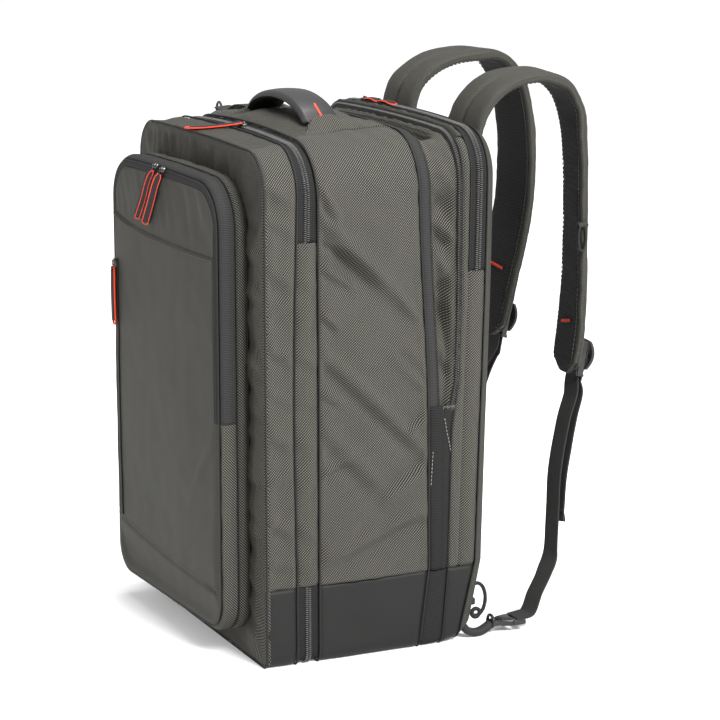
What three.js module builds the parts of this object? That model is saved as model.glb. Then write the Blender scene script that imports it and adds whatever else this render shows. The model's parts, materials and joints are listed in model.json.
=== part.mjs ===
// Travel backpack with a two-way zipped front, an expansion gusset and a rear compartment.
// Millimetres. +Z is up, the front pocket faces -Y, the back panel and the straps are at +Y,
// and the origin is the middle of the flat base.
import * as THREE from 'three';

// Driving sizes.
const HEIGHT = 500;              // floor to the top of the back section
const HALF_WIDTH = 160;
const DEPTH = 250;               // seams stand at shares of this size before and behind the middle
const TOP_ROUND = 50;            // corner radius of the main section's top
const LOW_ROUND = 10;            // corner radius of its underside
const WALL = 2;                  // cloth wall
const THIN_WALL = 1.6;           // cloth of the pocket and the patches
const TAPE_WALL = 1.4;           // zip and expansion tapes
const GAP = 0.3;                 // clearance between neighbouring pieces
const FOLD = 5;                  // depth of the deepest fold
const FRONT_Y = -0.44 * DEPTH;   // face of the front section
const FRONT_ROUND = 4;           // piped front edge of the front section
const ZIP_RECESS = 2.2;          // the front zip lies this far below its neighbours
const COIL_RISE = 1.5;           // zip coil above its tape
const BASE_TOP = 77;             // upper edge of the coated base
const FRONT_ZIP_END = 405;       // the front zip ends in a patch below this height
const REAR_ZIP_END = 367;        // the same for the rear zip
const MEET = 232;                // height at which the expansion tapes meet
const POCKET_HALF = 130;         // half width of the front pocket
const POCKET_X = -9;             // its middle lies a little to the left
const POCKET_TOP = 461;
const POCKET_LOW = 25;
const POCKET_DEPTH = 33.7;
const POCKET_LEAN = 0.16;        // the pocket is deeper on the left by this share
const POCKET_ROUND = 8;          // rounded edge between the pocket side and its face
const POCKET_CROWN = 5;          // the filled pocket face stands out this much in its middle
const POCKET_ZIP_END = 232;      // the pocket zip ends at this height on both sides
const STRAP_X = 75;              // middle of a shoulder strap
const STRAP_WIDTH = 68;
const STRAP_THICK = 9;
const STRAP_REACH = 150;         // the far strap stands out this much behind the back panel
const WEB_WIDTH = 25;
const WEB_THICK = 1.8;
const HANDLE_Y = -12;
const HANDLE_WIDTH = 32;
const HANDLE_THICK = 7;
const HANDLE_RISE = 23;          // the handle's top above HEIGHT
const HANDLE_FOOT = 70;          // its feet lie this far from the middle

// The seams of the bag from front to back, as shares of the sizes above.
// lean: y of the seam at the heights in LEAN_AT, of DEPTH; half, halfTop: half width low down and
// at the top, of HALF_WIDTH; top, crown: height and its drop towards the corners, of HEIGHT; rTop:
// top corner radius, of TOP_ROUND; low, rLow: underside and its corner radius, of LOW_ROUND.
const LEAN_AT = [0, 0.16, 0.43, 0.524, 0.68, 0.89, 1];
const SEAM_SHARES = {
  face: {
    lean: [-0.44, -0.44, -0.44, -0.44, -0.44, -0.44, -0.44],
    half: 1, halfTop: 1, top: 0.982, crown: 0.006, rTop: 0.76, low: 0, rLow: 1,
  },
  zipA: {
    lean: [-0.312, -0.312, -0.32, -0.32, -0.316, -0.304, -0.304],
    half: 1, halfTop: 0.994, top: 0.99, crown: 0.01, rTop: 0.88, low: 0, rLow: 1,
  },
  zipB: {
    lean: [-0.22, -0.22, -0.22, -0.22, -0.22, -0.22, -0.22],
    half: 1, halfTop: 0.988, top: 0.996, crown: 0.018, rTop: 1.08, low: 0, rLow: 1,
  },
  tapeA: {
    lean: [0.2, 0.24, 0.236, 0.232, 0.225, 0.216, 0.216],
    half: 1, halfTop: 0.925, top: 0.998, crown: 0.01, rTop: 1.12, low: 0, rLow: 1,
  },
  tapeB: {
    lean: [0.28, 0.288, 0.284, 0.276, 0.267, 0.26, 0.26],
    half: 1, halfTop: 0.931, top: 0.996, crown: 0.01, rTop: 1.12, low: 0, rLow: 1,
  },
  tapeC: {
    lean: [0.28, 0.288, 0.3, 0.332, 0.344, 0.344, 0.344],
    half: 1, halfTop: 0.975, top: 0.998, crown: 0.008, rTop: 0.96, low: 0, rLow: 1,
  },
  tapeD: {
    lean: [0.296, 0.324, 0.336, 0.364, 0.372, 0.376, 0.376],
    half: 1, halfTop: 0.994, top: 1.004, crown: 0.008, rTop: 0.88, low: 0, rLow: 1,
  },
  zipC: {
    lean: [0.32, 0.368, 0.384, 0.39, 0.4, 0.406, 0.408],
    half: 1, halfTop: 1.006, top: 1.007, crown: 0.012, rTop: 0.84, low: 0, rLow: 1,
  },
  zipD: {
    lean: [0.364, 0.44, 0.46, 0.472, 0.484, 0.49, 0.49],
    half: 1, halfTop: 1.012, top: 1.007, crown: 0.012, rTop: 0.84, low: 0.3, rLow: 1.2,
  },
  back: {
    lean: [0.4, 0.468, 0.486, 0.494, 0.504, 0.511, 0.511],
    half: 0.982, halfTop: 0.988, top: 1, crown: 0.01, rTop: 0.84, low: 0.9, rLow: 1.4,
  },
};
const SEAMS = Object.fromEntries(Object.entries(SEAM_SHARES).map(([name, k]) => [name, {
  lean: k.lean.map((v) => v * DEPTH),
  half: k.half * HALF_WIDTH,
  halfTop: k.halfTop * HALF_WIDTH,
  top: k.top * HEIGHT,
  crown: k.crown * HEIGHT,
  rTop: k.rTop * TOP_ROUND,
  low: k.low * LOW_ROUND,
  rLow: k.rLow * LOW_ROUND,
}]));

// Fills, folds and dents of the soft skins. seam: the piece starts at this seam; at, deep: middle
// and half size across the piece, of its depth; z, tall: middle and half size up the side, of
// HEIGHT; slope: climb over the depth of the piece, of HEIGHT; rise: outwards (+) or inwards (-),
// of FOLD.
const FOLDS = [
  { seam: 'zipB', at: 0.50, deep: 0.45, z: 0.94, tall: 0.12, slope: 0, rise: 0.6 },
  { seam: 'zipB', at: 0.18, deep: 0.14, z: 0.60, tall: 0.06, slope: -0.06, rise: -0.48 },
  { seam: 'zipB', at: 0.30, deep: 0.20, z: 0.41, tall: 0.044, slope: 0.08, rise: -0.52 },
  { seam: 'zipB', at: 0.62, deep: 0.30, z: 0.24, tall: 0.036, slope: 0.048, rise: -0.44 },
  { seam: 'zipB', at: 0.55, deep: 0.30, z: 0.66, tall: 0.18, slope: 0, rise: 0.52 },
  { seam: 'zipB', at: 0.45, deep: 0.30, z: 0.06, tall: 0.032, slope: 0, rise: -0.24 },
  { seam: 'face', at: 0.45, deep: 0.25, z: 0.66, tall: 0.12, slope: 0, rise: -0.32 },
  { seam: 'face', at: 0.45, deep: 0.25, z: 0.30, tall: 0.14, slope: 0, rise: -0.28 },
  { seam: 'tapeB', at: 0.40, deep: 0.35, z: 0.86, tall: 0.044, slope: 0.04, rise: -0.9 },
  { seam: 'tapeB', at: 0.55, deep: 0.35, z: 0.75, tall: 0.052, slope: -0.068, rise: -1 },
  { seam: 'tapeB', at: 0.45, deep: 0.40, z: 0.64, tall: 0.04, slope: -0.06, rise: -0.8 },
  { seam: 'tapeB', at: 0.50, deep: 0.45, z: 0.56, tall: 0.032, slope: 0.032, rise: -0.6 },
  { seam: 'tapeD', at: 0.50, deep: 0.40, z: 0.60, tall: 0.052, slope: 0.02, rise: -0.24 },
];

const clamp = (v, a, b) => Math.min(b, Math.max(a, v));
const mix = (a, b, t) => a + (b - a) * t;
const ease = (t) => { const c = clamp(t, 0, 1); return c * c * (3 - 2 * c); };

// value of a row of numbers given at the heights in LEAN_AT
const HEIGHTS = LEAN_AT.map((share) => share * HEIGHT);
function atHeight(values, z) {
  let i = 0;
  while (i < HEIGHTS.length - 2 && z > HEIGHTS[i + 1]) i += 1;
  const t = clamp((z - HEIGHTS[i]) / (HEIGHTS[i + 1] - HEIGHTS[i]), 0, 1);
  return mix(values[i], values[i + 1], t);
}

const V = (x, y, z) => new THREE.Vector3(x, y, z);

// Closed skins.
// rows: lists of { p, n }, outer point and outward direction. The skin is thickened inwards.
// ring: the columns close on themselves; pole: the last row is one point.
function skin(rows, { wall = WALL, ring = false, pole = false } = {}) {
  const points = [], faces = [];
  const add = (v) => points.push(v) - 1;
  const outer = rows.map((row, i) => {
    if (pole && i === rows.length - 1) { const k = add(row[0].p); return row.map(() => k); }
    return row.map(({ p }) => add(p));
  });
  const inner = rows.map((row, i) => {
    const back = ({ p, n, w }) => add(p.clone().addScaledVector(n, -(w ?? wall)));
    if (pole && i === rows.length - 1) { const k = back(row[0]); return row.map(() => k); }
    return row.map(back);
  });
  const quad = (a, b, c, d) => {
    if (a !== b && b !== c && c !== a) faces.push(a, b, c);
    if (a !== c && c !== d && d !== a) faces.push(a, c, d);
  };
  const cols = rows[0].length, last = rows.length - 1;
  const steps = ring ? cols : cols - 1;
  for (let j = 0; j < steps; j += 1) {
    const k = (j + 1) % cols;
    for (let i = 0; i < last; i += 1) {
      quad(outer[i][j], outer[i][k], outer[i + 1][k], outer[i + 1][j]);
      quad(inner[i][j], inner[i + 1][j], inner[i + 1][k], inner[i][k]);
    }
    quad(outer[0][j], inner[0][j], inner[0][k], outer[0][k]);
    if (!pole) quad(outer[last][j], outer[last][k], inner[last][k], inner[last][j]);
  }
  if (!ring) {
    for (let i = 0; i < last; i += 1) {
      quad(outer[i][0], outer[i + 1][0], inner[i + 1][0], inner[i][0]);
      const e = cols - 1;
      quad(outer[i][e], inner[i][e], inner[i + 1][e], outer[i + 1][e]);
    }
  }
  return solid(points, faces);
}

// geometry from points and triangles, turned so that its volume is positive
function solid(points, faces) {
  let volume = 0;
  for (let i = 0; i < faces.length; i += 3) {
    const [a, b, c] = [points[faces[i]], points[faces[i + 1]], points[faces[i + 2]]];
    volume += a.dot(b.clone().cross(c));
  }
  const order = volume < 0 ? faces.slice().reverse() : faces;
  const geometry = new THREE.BufferGeometry();
  geometry.setAttribute('position',
    new THREE.Float32BufferAttribute(points.flatMap((v) => [v.x, v.y, v.z]), 3));
  geometry.setIndex(order);
  geometry.computeVertexNormals();
  return geometry;
}

// Outline of the bag across X and Z.
// s runs from 0 in the middle of the floor to 1 in the middle of the top; its sign is the side.
const WAIST = 0.48 * HEIGHT;     // above this height the sides draw in to halfTop
const SPANS = { floor: 0.1, lowCorner: 0.2, side: 0.7, corner: 0.86, top: 1 };

function outlineAt(sec, s) {
  const a = Math.abs(s), sign = s < 0 ? -1 : 1, cx = sec.cx ?? 0;
  const inTop = sec.halfTop - sec.rTop, inLow = sec.half - sec.rLow;
  const sideLow = sec.low + sec.rLow;
  const cornerZ = sec.top - sec.crown * (inTop / sec.halfTop) ** 2 - sec.rTop;
  let x, z;
  if (a <= SPANS.floor) {
    x = inLow * (a / SPANS.floor); z = sec.low;
  } else if (a <= SPANS.lowCorner) {
    const t = (a - SPANS.floor) / (SPANS.lowCorner - SPANS.floor) * Math.PI / 2;
    x = inLow + sec.rLow * Math.sin(t); z = sideLow - sec.rLow * Math.cos(t);
  } else if (a <= SPANS.side) {
    const t = (a - SPANS.lowCorner) / (SPANS.side - SPANS.lowCorner);
    z = mix(sideLow, cornerZ, t);
    x = mix(sec.half, sec.halfTop, ease((z - WAIST) / (cornerZ - WAIST)));
  } else if (a <= SPANS.corner) {
    const t = (a - SPANS.side) / (SPANS.corner - SPANS.side) * Math.PI / 2;
    x = inTop + sec.rTop * Math.cos(t); z = cornerZ + sec.rTop * Math.sin(t);
  } else {
    const t = (a - SPANS.corner) / (1 - SPANS.corner);
    x = inTop * (1 - t); z = sec.top - sec.crown * (x / sec.halfTop) ** 2;
  }
  return new THREE.Vector2(cx + sign * x, z);
}

// outward direction of the outline at s
function outlineNormal(sec, s) {
  const a = Math.abs(s), sign = s < 0 ? -1 : 1, step = 1e-4;
  if (a > 1 - 1e-6) return new THREE.Vector2(0, 1);
  if (a < 1e-6) return new THREE.Vector2(0, -1);
  const p = outlineAt(sec, Math.max(a - step, 0)), q = outlineAt(sec, Math.min(a + step, 1));
  const d = q.sub(p).normalize();
  return new THREE.Vector2(sign * d.y, -d.x);
}

// s of the outline at height z on its side
function sAtHeight(sec, z) {
  let lo = SPANS.floor, hi = SPANS.corner;
  for (let i = 0; i < 40; i += 1) {
    const mid = (lo + hi) / 2;
    if (outlineAt(sec, mid).y < z) lo = mid; else hi = mid;
  }
  return (lo + hi) / 2;
}

// the section at a share of the way between two neighbouring seams
function between(from, to, t) {
  const a = SEAMS[from], b = SEAMS[to], sec = {};
  for (const key of Object.keys(a)) {
    sec[key] = key === 'lean' ? a.lean.map((v, i) => mix(v, b.lean[i], t)) : mix(a[key], b[key], t);
  }
  return sec;
}

// sum of the folds of a piece at a point of its skin
function foldAt(seam, t, z) {
  let rise = 0;
  for (const f of FOLDS.filter((k) => k.seam === seam)) {
    const dz = (z / HEIGHT - f.z - f.slope * (t - f.at)) / f.tall;
    const dt = (t - f.at) / f.deep;
    rise += f.rise * FOLD * Math.exp(-dz * dz - dt * dt);
  }
  return rise;
}

// One point of the bag's skin: between two seams at share t, at s, raised by lift. The gap
// between neighbouring pieces comes from shift, a step along Y.
function bagPoint(from, to, t, s, lift = 0, shift = 0) {
  const sec = between(from, to, t);
  const n = outlineNormal(sec, s), q = outlineAt(sec, s);
  const fade = clamp(t / 0.12, 0, 1) * clamp((1 - t) / 0.12, 0, 1);
  const rise = lift + (q.y > 14 ? foldAt(from, t, q.y) * fade : 0);
  return {
    p: new THREE.Vector3(q.x + n.x * rise, atHeight(sec.lean, q.y) + shift, q.y + n.y * rise),
    n: new THREE.Vector3(n.x, 0, n.y),
  };
}

const list = (a, b, n) => Array.from({ length: n + 1 }, (_, i) => mix(a, b, i / n));
// Heights at which every piece has an edge on its sides, so that neighbours share their seams.
const LEVELS = [
  0.08 * HEIGHT, BASE_TOP, 0.25 * HEIGHT, 0.36 * HEIGHT, MEET, 0.548 * HEIGHT, 0.64 * HEIGHT,
  REAR_ZIP_END, FRONT_ZIP_END,
];
const CORNER = list(SPANS.side, SPANS.corner, 5), TOP = list(SPANS.corner, 1, 3).slice(1);
const LOW = list(SPANS.lowCorner, SPANS.floor, 2), FLOOR = [0];
const cut = GAP / 2;

// both sides of a half outline, right side first
const mirrored = (half) => [...half, ...half.slice(0, -1).reverse().map((s) => -s)];
// side edges between two heights, each end given as a height
const sideEdges = (sec, z0, z1, levels = LEVELS) =>
  [z0, ...levels.filter((z) => z > z0 + 1 && z < z1 - 1), z1].map((z) => sAtHeight(sec, z));

// from the right side over the top to the left, and from the right under the floor
function overTop(sec, z, levels = LEVELS) {
  const above = levels.filter((v) => v > z + 1).map((v) => sAtHeight(sec, v));
  return mirrored([sAtHeight(sec, z + cut), ...above, ...CORNER, ...TOP]);
}

function underFloor(sec, z, levels = LEVELS) {
  const below = levels.filter((v) => v < z - 1).reverse().map((v) => sAtHeight(sec, v));
  return mirrored([sAtHeight(sec, z - cut), ...below, ...LOW, ...FLOOR]);
}

function allRound(sec, levels = LEVELS) {
  const up = levels.map((z) => sAtHeight(sec, z));
  const half = [...FLOOR, ...LOW.slice().reverse(), ...up, ...CORNER, ...TOP];
  return [...half, ...half.slice(1, -1).reverse().map((s) => -s)];
}

// One band of the skin between two seams. columns(sec) gives s along the band; profile: shares
// of the depth with a lift each.
function band(from, to, columns, profile, options = {}) {
  const rows = profile.map(([t, lift], i) => {
    const shift = i === 0 ? GAP / 2 : i === profile.length - 1 ? -GAP / 2 : 0;
    return columns(between(from, to, t)).map((s) => bagPoint(from, to, t, s, lift, shift));
  });
  return skin(rows, options);
}

const flat = (n, lift = 0) => list(0, 1, n).map((t) => [t, lift]);
const ZIP_PROFILE = [[0, 0], [0.34, 0], [0.40, COIL_RISE], [0.60, COIL_RISE], [0.66, 0], [1, 0]];
const sunk = (profile, depth) => profile.map(([t, lift]) => [t, lift - depth]);
const arch = (z) => (sec) => overTop(sec, z);
const trough = (z) => (sec) => underFloor(sec, z);
const sidePatch = (sign, z0, z1) => (sec) => sideEdges(sec, z0 + cut, z1 - cut).map((s) => s * sign);

// The front section: a tray that is open at the back.
function frontSection() {
  const sec = SEAMS.face, cols = allRound(sec), rows = [];
  for (const t of [1, 0.5]) {
    const shift = t === 1 ? -cut : 0;
    const around = allRound(between('face', 'zipA', t));
    rows.push(around.map((s) => bagPoint('face', 'zipA', t, s, 0, shift)));
  }
  const middle = new THREE.Vector2(0, sec.top / 2);
  for (const angle of [0, Math.PI / 4, Math.PI / 2]) {
    rows.push(cols.map((s) => {
      const q = outlineAt(sec, s), n = outlineNormal(sec, s);
      const inset = FRONT_ROUND * (1 - Math.cos(angle));
      const y = FRONT_Y + FRONT_ROUND * (1 - Math.sin(angle));
      return {
        p: new THREE.Vector3(q.x - n.x * inset, y, q.y - n.y * inset),
        n: new THREE.Vector3(n.x * Math.cos(angle), -Math.sin(angle), n.y * Math.cos(angle)),
      };
    }));
  }
  for (const share of [0.5, 1]) {
    rows.push(cols.map((s) => {
      const q = outlineAt(sec, s), n = outlineNormal(sec, s);
      const edge = q.addScaledVector(n, -FRONT_ROUND).lerp(middle, share);
      return { p: new THREE.Vector3(edge.x, FRONT_Y, edge.y), n: new THREE.Vector3(0, -1, 0) };
    }));
  }
  return skin(rows, { ring: true, pole: true });
}

// The front pocket.
const POCKET = {
  cx: POCKET_X, half: POCKET_HALF, halfTop: POCKET_HALF, top: POCKET_TOP, crown: 3, rTop: 46,
  low: POCKET_LOW, rLow: 32,
};
const POCKET_MIDDLE = new THREE.Vector2(POCKET_X, (POCKET_TOP + POCKET_LOW) / 2);
const POCKET_BACK = FRONT_Y - GAP;                    // edge of the pocket against the front section
const POCKET_SIDE = POCKET_DEPTH - POCKET_ROUND;      // straight part of the side
const POCKET_SEAM = 0.52;                             // share of the side where the zip begins

// depth of the pocket in front of its edge, deeper on the far side and in the middle
function pocketY(x, z, depth) {
  const a = (x - POCKET_X) / POCKET_HALF;
  const b = (z - POCKET_MIDDLE.y) / ((POCKET_TOP - POCKET_LOW) / 2);
  const crown = Math.max(POCKET_CROWN * (1 - a * a) * (1 - b * b), 0);
  const onFace = depth >= POCKET_DEPTH - 1e-6;
  return POCKET_BACK - depth * (1 - POCKET_LEAN * a) - (onFace ? crown : 0);
}

// angle 0 is the pocket side at a share of its depth, angle 90 degrees is the face
function pocketPoint(s, share, angle, lift = 0) {
  const q = outlineAt(POCKET, s), n = outlineNormal(POCKET, s);
  const inset = POCKET_ROUND * (1 - Math.cos(angle));
  const depth = angle > 0 ? POCKET_SIDE + POCKET_ROUND * Math.sin(angle) : POCKET_SIDE * share;
  const x = q.x - n.x * inset, z = q.y - n.y * inset;
  const dir = new THREE.Vector3(n.x * Math.cos(angle), -Math.sin(angle), n.y * Math.cos(angle));
  return { p: new THREE.Vector3(x, pocketY(x, z, depth), z).addScaledVector(dir, lift), n: dir };
}

const FACE_START = Math.PI * 0.36;                    // the face panel begins on the rounded edge
const FACE_GAP = 0.03;                                // half the gap there, as an angle
const POCKET_LEVELS = [0.16 * HEIGHT, 0.3 * HEIGHT, POCKET_ZIP_END, 0.6 * HEIGHT, 0.72 * HEIGHT];
const pocketCols = allRound(POCKET, POCKET_LEVELS);
const pocketArch = overTop(POCKET, POCKET_ZIP_END, POCKET_LEVELS);
const pocketTrough = underFloor(POCKET, POCKET_ZIP_END, POCKET_LEVELS);

function pocketRows(cols, steps) {
  return steps.map(([share, angle, lift, shift]) => cols.map((s) => {
    const v = pocketPoint(s, share, angle, lift ?? 0);
    v.p.y += shift ?? 0;
    return v;
  }));
}

function pocketGusset() {
  const steps = [[0, 0, 0, 0], [POCKET_SEAM * 0.5, 0, 0.8], [POCKET_SEAM, 0, 0, GAP / 2]];
  return skin(pocketRows(pocketCols, steps), { wall: THIN_WALL, ring: true });
}

function pocketZip() {
  const a = POCKET_SEAM;
  const steps = [
    [a, 0, 0, -GAP / 2], [mix(a, 1, 0.5), 0, 0], [mix(a, 1, 0.72), 0, COIL_RISE],
    [1, 0, COIL_RISE], [1, FACE_START / 4, 0], [1, FACE_START - FACE_GAP, 0],
  ];
  return skin(pocketRows(pocketArch, steps), { wall: THIN_WALL });
}

function pocketLowerSide() {
  const steps = [
    [POCKET_SEAM, 0, 0, -GAP / 2], [1, 0, 0], [1, Math.PI * 0.2, 0], [1, FACE_START - FACE_GAP, 0],
  ];
  return skin(pocketRows(pocketTrough, steps), { wall: THIN_WALL });
}

// the face: rounded edge, then rows that close on the middle
function pocketFace() {
  const rows = pocketRows(pocketCols, [[1, FACE_START + FACE_GAP, 0], [1, Math.PI / 2, 0]]);
  for (const share of [0.22, 0.6, 1]) {
    rows.push(pocketCols.map((s) => {
      const q = outlineAt(POCKET, s), n = outlineNormal(POCKET, s);
      const e = q.addScaledVector(n, -POCKET_ROUND).lerp(POCKET_MIDDLE, share);
      return { p: V(e.x, pocketY(e.x, e.y, POCKET_DEPTH), e.y), n: V(0, -1, 0) };
    }));
  }
  return skin(rows, { wall: THIN_WALL, ring: true, pole: true });
}

// The back panel: a plain padded closing of the back.
function backEdge(s, angle, extra = 0) {
  const sec = SEAMS.back, r = BACK_ROUND, q = outlineAt(sec, s), n = outlineNormal(sec, s);
  const inset = r * (1 - Math.cos(angle)) + extra;
  const x = q.x - n.x * inset, z = q.y - n.y * inset;
  return {
    p: new THREE.Vector3(x, atHeight(sec.lean, z) + r * Math.sin(angle) - r, z),
    n: new THREE.Vector3(n.x * Math.cos(angle), Math.sin(angle), n.y * Math.cos(angle)),
  };
}

const BACK_SEAM = 9;                                  // the edging is this wide on the back
const BACK_ROUND = 5;                                 // rounded edge of the back
const EDGE_SINK = 1.5;                                // the edging leans in before it rounds
function backEdging() {
  const cols = allRound(SEAMS.back), rows = [];
  for (const t of [0, 0.5]) {
    const shift = t === 0 ? cut : -EDGE_SINK;
    rows.push(allRound(between('zipD', 'back', t)).map((s) => bagPoint('zipD', 'back', t, s, 0, shift)));
  }
  rows.push(cols.map((s) => backEdge(s, Math.PI / 4)), cols.map((s) => backEdge(s, Math.PI / 2)));
  rows.push(cols.map((s) => backEdge(s, Math.PI / 2, BACK_SEAM - BACK_ROUND - GAP)));
  return skin(rows, { ring: true });
}

const PANEL_PUFF = 3;                                 // padding of the back panel
const BACK_MIDDLE = new THREE.Vector2(0, 0.51 * HEIGHT);
function backPanel() {
  const sec = SEAMS.back, cols = allRound(sec), rows = [];
  for (const share of [0, 0.08, 1]) {
    rows.push(cols.map((s) => {
      const q = outlineAt(sec, s), n = outlineNormal(sec, s);
      const e = q.addScaledVector(n, -BACK_SEAM).lerp(BACK_MIDDLE, share);
      const puff = share > 0 ? PANEL_PUFF : 0;
      return { p: V(e.x, atHeight(sec.lean, e.y) + puff, e.y), n: V(0, 1, 0), w: WALL + puff };
    }));
  }
  return skin(rows, { ring: true, pole: true });
}

// Sweeps: handle, shoulder pads, webbing, cords.
// path: rows with named columns x, y, z and, where they change, width, thick and turn (degrees
// about the path). across: the direction of the width before the turn. Gives the place, the
// directions and the sizes at a share u of the path.
function alongPath(path, u, { width, thick, across }) {
  const curve = new THREE.CatmullRomCurve3(path.map((k) => V(k.x, k.y, k.z)), false, 'centripetal');
  const f = u * (path.length - 1), k = Math.min(Math.floor(f), path.length - 2), t = f - k;
  const value = (name, plain) => mix(path[k][name] ?? plain, path[k + 1][name] ?? plain, ease(t));
  const p = curve.getPoint(u), tangent = curve.getTangent(u);
  const side = across.clone().addScaledVector(tangent, -across.dot(tangent)).normalize();
  side.applyAxisAngle(tangent, value('turn', 0) * Math.PI / 180);
  const up = side.clone().cross(tangent).normalize();
  return { p, tangent, side, up, width: value('width', width), thick: value('thick', thick) };
}

// rounded rectangle: 1 is an ellipse, 0 a rectangle
const superShare = (v, square) => Math.sign(v) * Math.abs(v) ** square;

function sweep(path, options) {
  const { steps = 2, round = 6, square = 0.5, from = 0, to = 1 } = options;
  const total = Math.max(1, Math.round((path.length - 1) * steps * (to - from)));
  const rows = list(from, to, total).map((u) => {
    const { p, side, up, width, thick } = alongPath(path, u, options);
    return Array.from({ length: round }, (_, j) => {
      const angle = (j + 0.5) / round * 2 * Math.PI;
      const x = superShare(Math.cos(angle), square) * width / 2;
      const y = superShare(Math.sin(angle), square) * thick / 2;
      return p.clone().addScaledVector(side, x).addScaledVector(up, y);
    });
  });
  return tube(rows);
}

// closed body over rows of points with flat ends
function tube(rows) {
  const points = rows.flat(), faces = [], n = rows[0].length, last = (rows.length - 1) * n;
  for (let i = 0; i < rows.length - 1; i += 1) {
    for (let j = 0; j < n; j += 1) {
      const k = (j + 1) % n, a = i * n, b = a + n;
      faces.push(a + j, a + k, b + k, a + j, b + k, b + j);
    }
  }
  for (let j = 1; j < n - 1; j += 1) {
    faces.push(0, j + 1, j);
    faces.push(last, last + j, last + j + 1);
  }
  return solid(points, faces);
}

// closed ring of a round wire: centre, two half axes, wire thickness
function ringOf(centre, a, b, axisA, axisB, wire, n = 16, m = 6) {
  const points = [], faces = [];
  const normal = axisA.clone().cross(axisB).normalize();
  for (let i = 0; i < n; i += 1) {
    const t = i / n * 2 * Math.PI;
    const c = Math.cos(t), d = Math.sin(t);
    const out = axisA.clone().multiplyScalar(c * a).addScaledVector(axisB, d * b);
    const dir = axisA.clone().multiplyScalar(c * b).addScaledVector(axisB, d * a).normalize();
    for (let j = 0; j < m; j += 1) {
      const w = j / m * 2 * Math.PI;
      points.push(centre.clone().add(out).addScaledVector(dir, Math.cos(w) * wire / 2)
        .addScaledVector(normal, Math.sin(w) * wire / 2));
    }
  }
  for (let i = 0; i < n; i += 1) {
    for (let j = 0; j < m; j += 1) {
      const a0 = i * m, b0 = ((i + 1) % n) * m, k = (j + 1) % m;
      faces.push(a0 + j, a0 + k, b0 + k, a0 + j, b0 + k, b0 + j);
    }
  }
  return solid(points, faces);
}

// block with all edges along its height chamfered, turned to three directions
function tubeBlock(centre, sx, sy, sz, dirs) {
  const [u, v, w] = dirs ?? [V(1, 0, 0), V(0, 1, 0), V(0, 0, 1)];
  const c = Math.min(sx, sy, sz) * 0.2, a = sx / 2, b = sy / 2;
  const corners = [[a, -b, -c, 0], [a, -b, 0, c], [a, b, 0, -c], [a, b, -c, 0]];
  const half = corners.map(([x, y, dx, dy]) => [x + dx, y + dy]);
  const outline = [...half, ...half.map(([x, y]) => [-x, -y])];
  return tube([-sz / 2, sz / 2].map((h) => outline.map(([x, y]) =>
    centre.clone().addScaledVector(u, x).addScaledVector(v, y).addScaledVector(w, h))));
}


// height of the main section's top at x and y, from its seams
function topAt(x, from, to, t) {
  const sec = between(from, to, t);
  return sec.top - sec.crown * (x / sec.halfTop) ** 2;
}

// Handle.
const HANDLE_TOP = HEIGHT + HANDLE_RISE;
const FOOT_Z = topAt(0.79 * HANDLE_FOOT, 'zipB', 'tapeA', 0.4) + 0.6 * HANDLE_THICK;
const HANDLE_PATH = [-1, -0.83, -0.49, 0, 0.49, 0.83, 1].map((share, i) => ({
  x: share * HANDLE_FOOT,
  y: HANDLE_Y,
  z: [FOOT_Z, FOOT_Z + 9, HANDLE_TOP - 3.5, HANDLE_TOP][i > 3 ? 6 - i : i],
  thick: HANDLE_THICK * [0.71, 0.93, 1, 1][i > 3 ? 6 - i : i],
}));
const HANDLE_SHAPE = {
  width: HANDLE_WIDTH, thick: HANDLE_THICK, across: V(0, 1, 0), steps: 2, round: 10, square: 0.55,
};

// Shoulder straps: side view of the pad's middle line. y: shares of STRAP_REACH behind the back
// seam; z: shares of HEIGHT; turn: degrees about the line; width, thick: shares of the strap's.
const BACK_Y = SEAMS.back.lean[5];
const PAD_START = (PANEL_PUFF + GAP + STRAP_THICK / 2) / STRAP_REACH;
const padPath = (rows) => rows.map((k) => ({
  x: STRAP_X,
  y: BACK_Y + k.y * STRAP_REACH,
  z: k.z * HEIGHT,
  turn: k.turn ?? 0,
  width: (k.width ?? 1) * STRAP_WIDTH,
  thick: (k.thick ?? 1) * STRAP_THICK,
}));
const PAD_NEAR = padPath([
  { y: PAD_START, z: 0.86 }, { y: PAD_START + 0.002, z: 0.932 },
  { y: 0.072, z: 0.984 }, { y: 0.148, z: 1.032 }, { y: 0.308, z: 1.068 }, { y: 0.515, z: 1.08 },
  { y: 0.708, z: 1.068, turn: 3 }, { y: 0.835, z: 1.024, turn: 8 }, { y: 0.888, z: 0.948, turn: 13 },
  { y: 0.905, z: 0.85, turn: 14 }, { y: 0.908, z: 0.75, turn: 14 }, { y: 0.905, z: 0.65, turn: 13 },
  { y: 0.888, z: 0.57, turn: 11 }, { y: 0.862, z: 0.51, turn: 9, width: 0.91 },
  { y: 0.842, z: 0.476, turn: 8, width: 0.59, thick: 0.78 },
]);
const PAD_FAR = padPath([
  { y: PAD_START, z: 0.86 }, { y: PAD_START + 0.002, z: 0.932 },
  { y: 0.075, z: 0.984 }, { y: 0.135, z: 1.038 }, { y: 0.302, z: 1.078 }, { y: 0.542, z: 1.094 },
  { y: 0.768, z: 1.088, turn: 2 }, { y: 0.908, z: 1.04, turn: 3 }, { y: 0.975, z: 0.96, turn: 4 },
  { y: 0.998, z: 0.86, turn: 4 }, { y: 0.975, z: 0.77, turn: 4 }, { y: 0.915, z: 0.68, turn: 4 },
  { y: 0.848, z: 0.6, turn: 4 }, { y: 0.808, z: 0.536, turn: 4, width: 0.91 },
  { y: 0.782, z: 0.5, turn: 4, width: 0.59, thick: 0.78 },
]);
const PAD_SHAPE = {
  width: STRAP_WIDTH, thick: STRAP_THICK, across: V(1, 0, 0), steps: 1.5, round: 10, square: 0.45,
};
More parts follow.
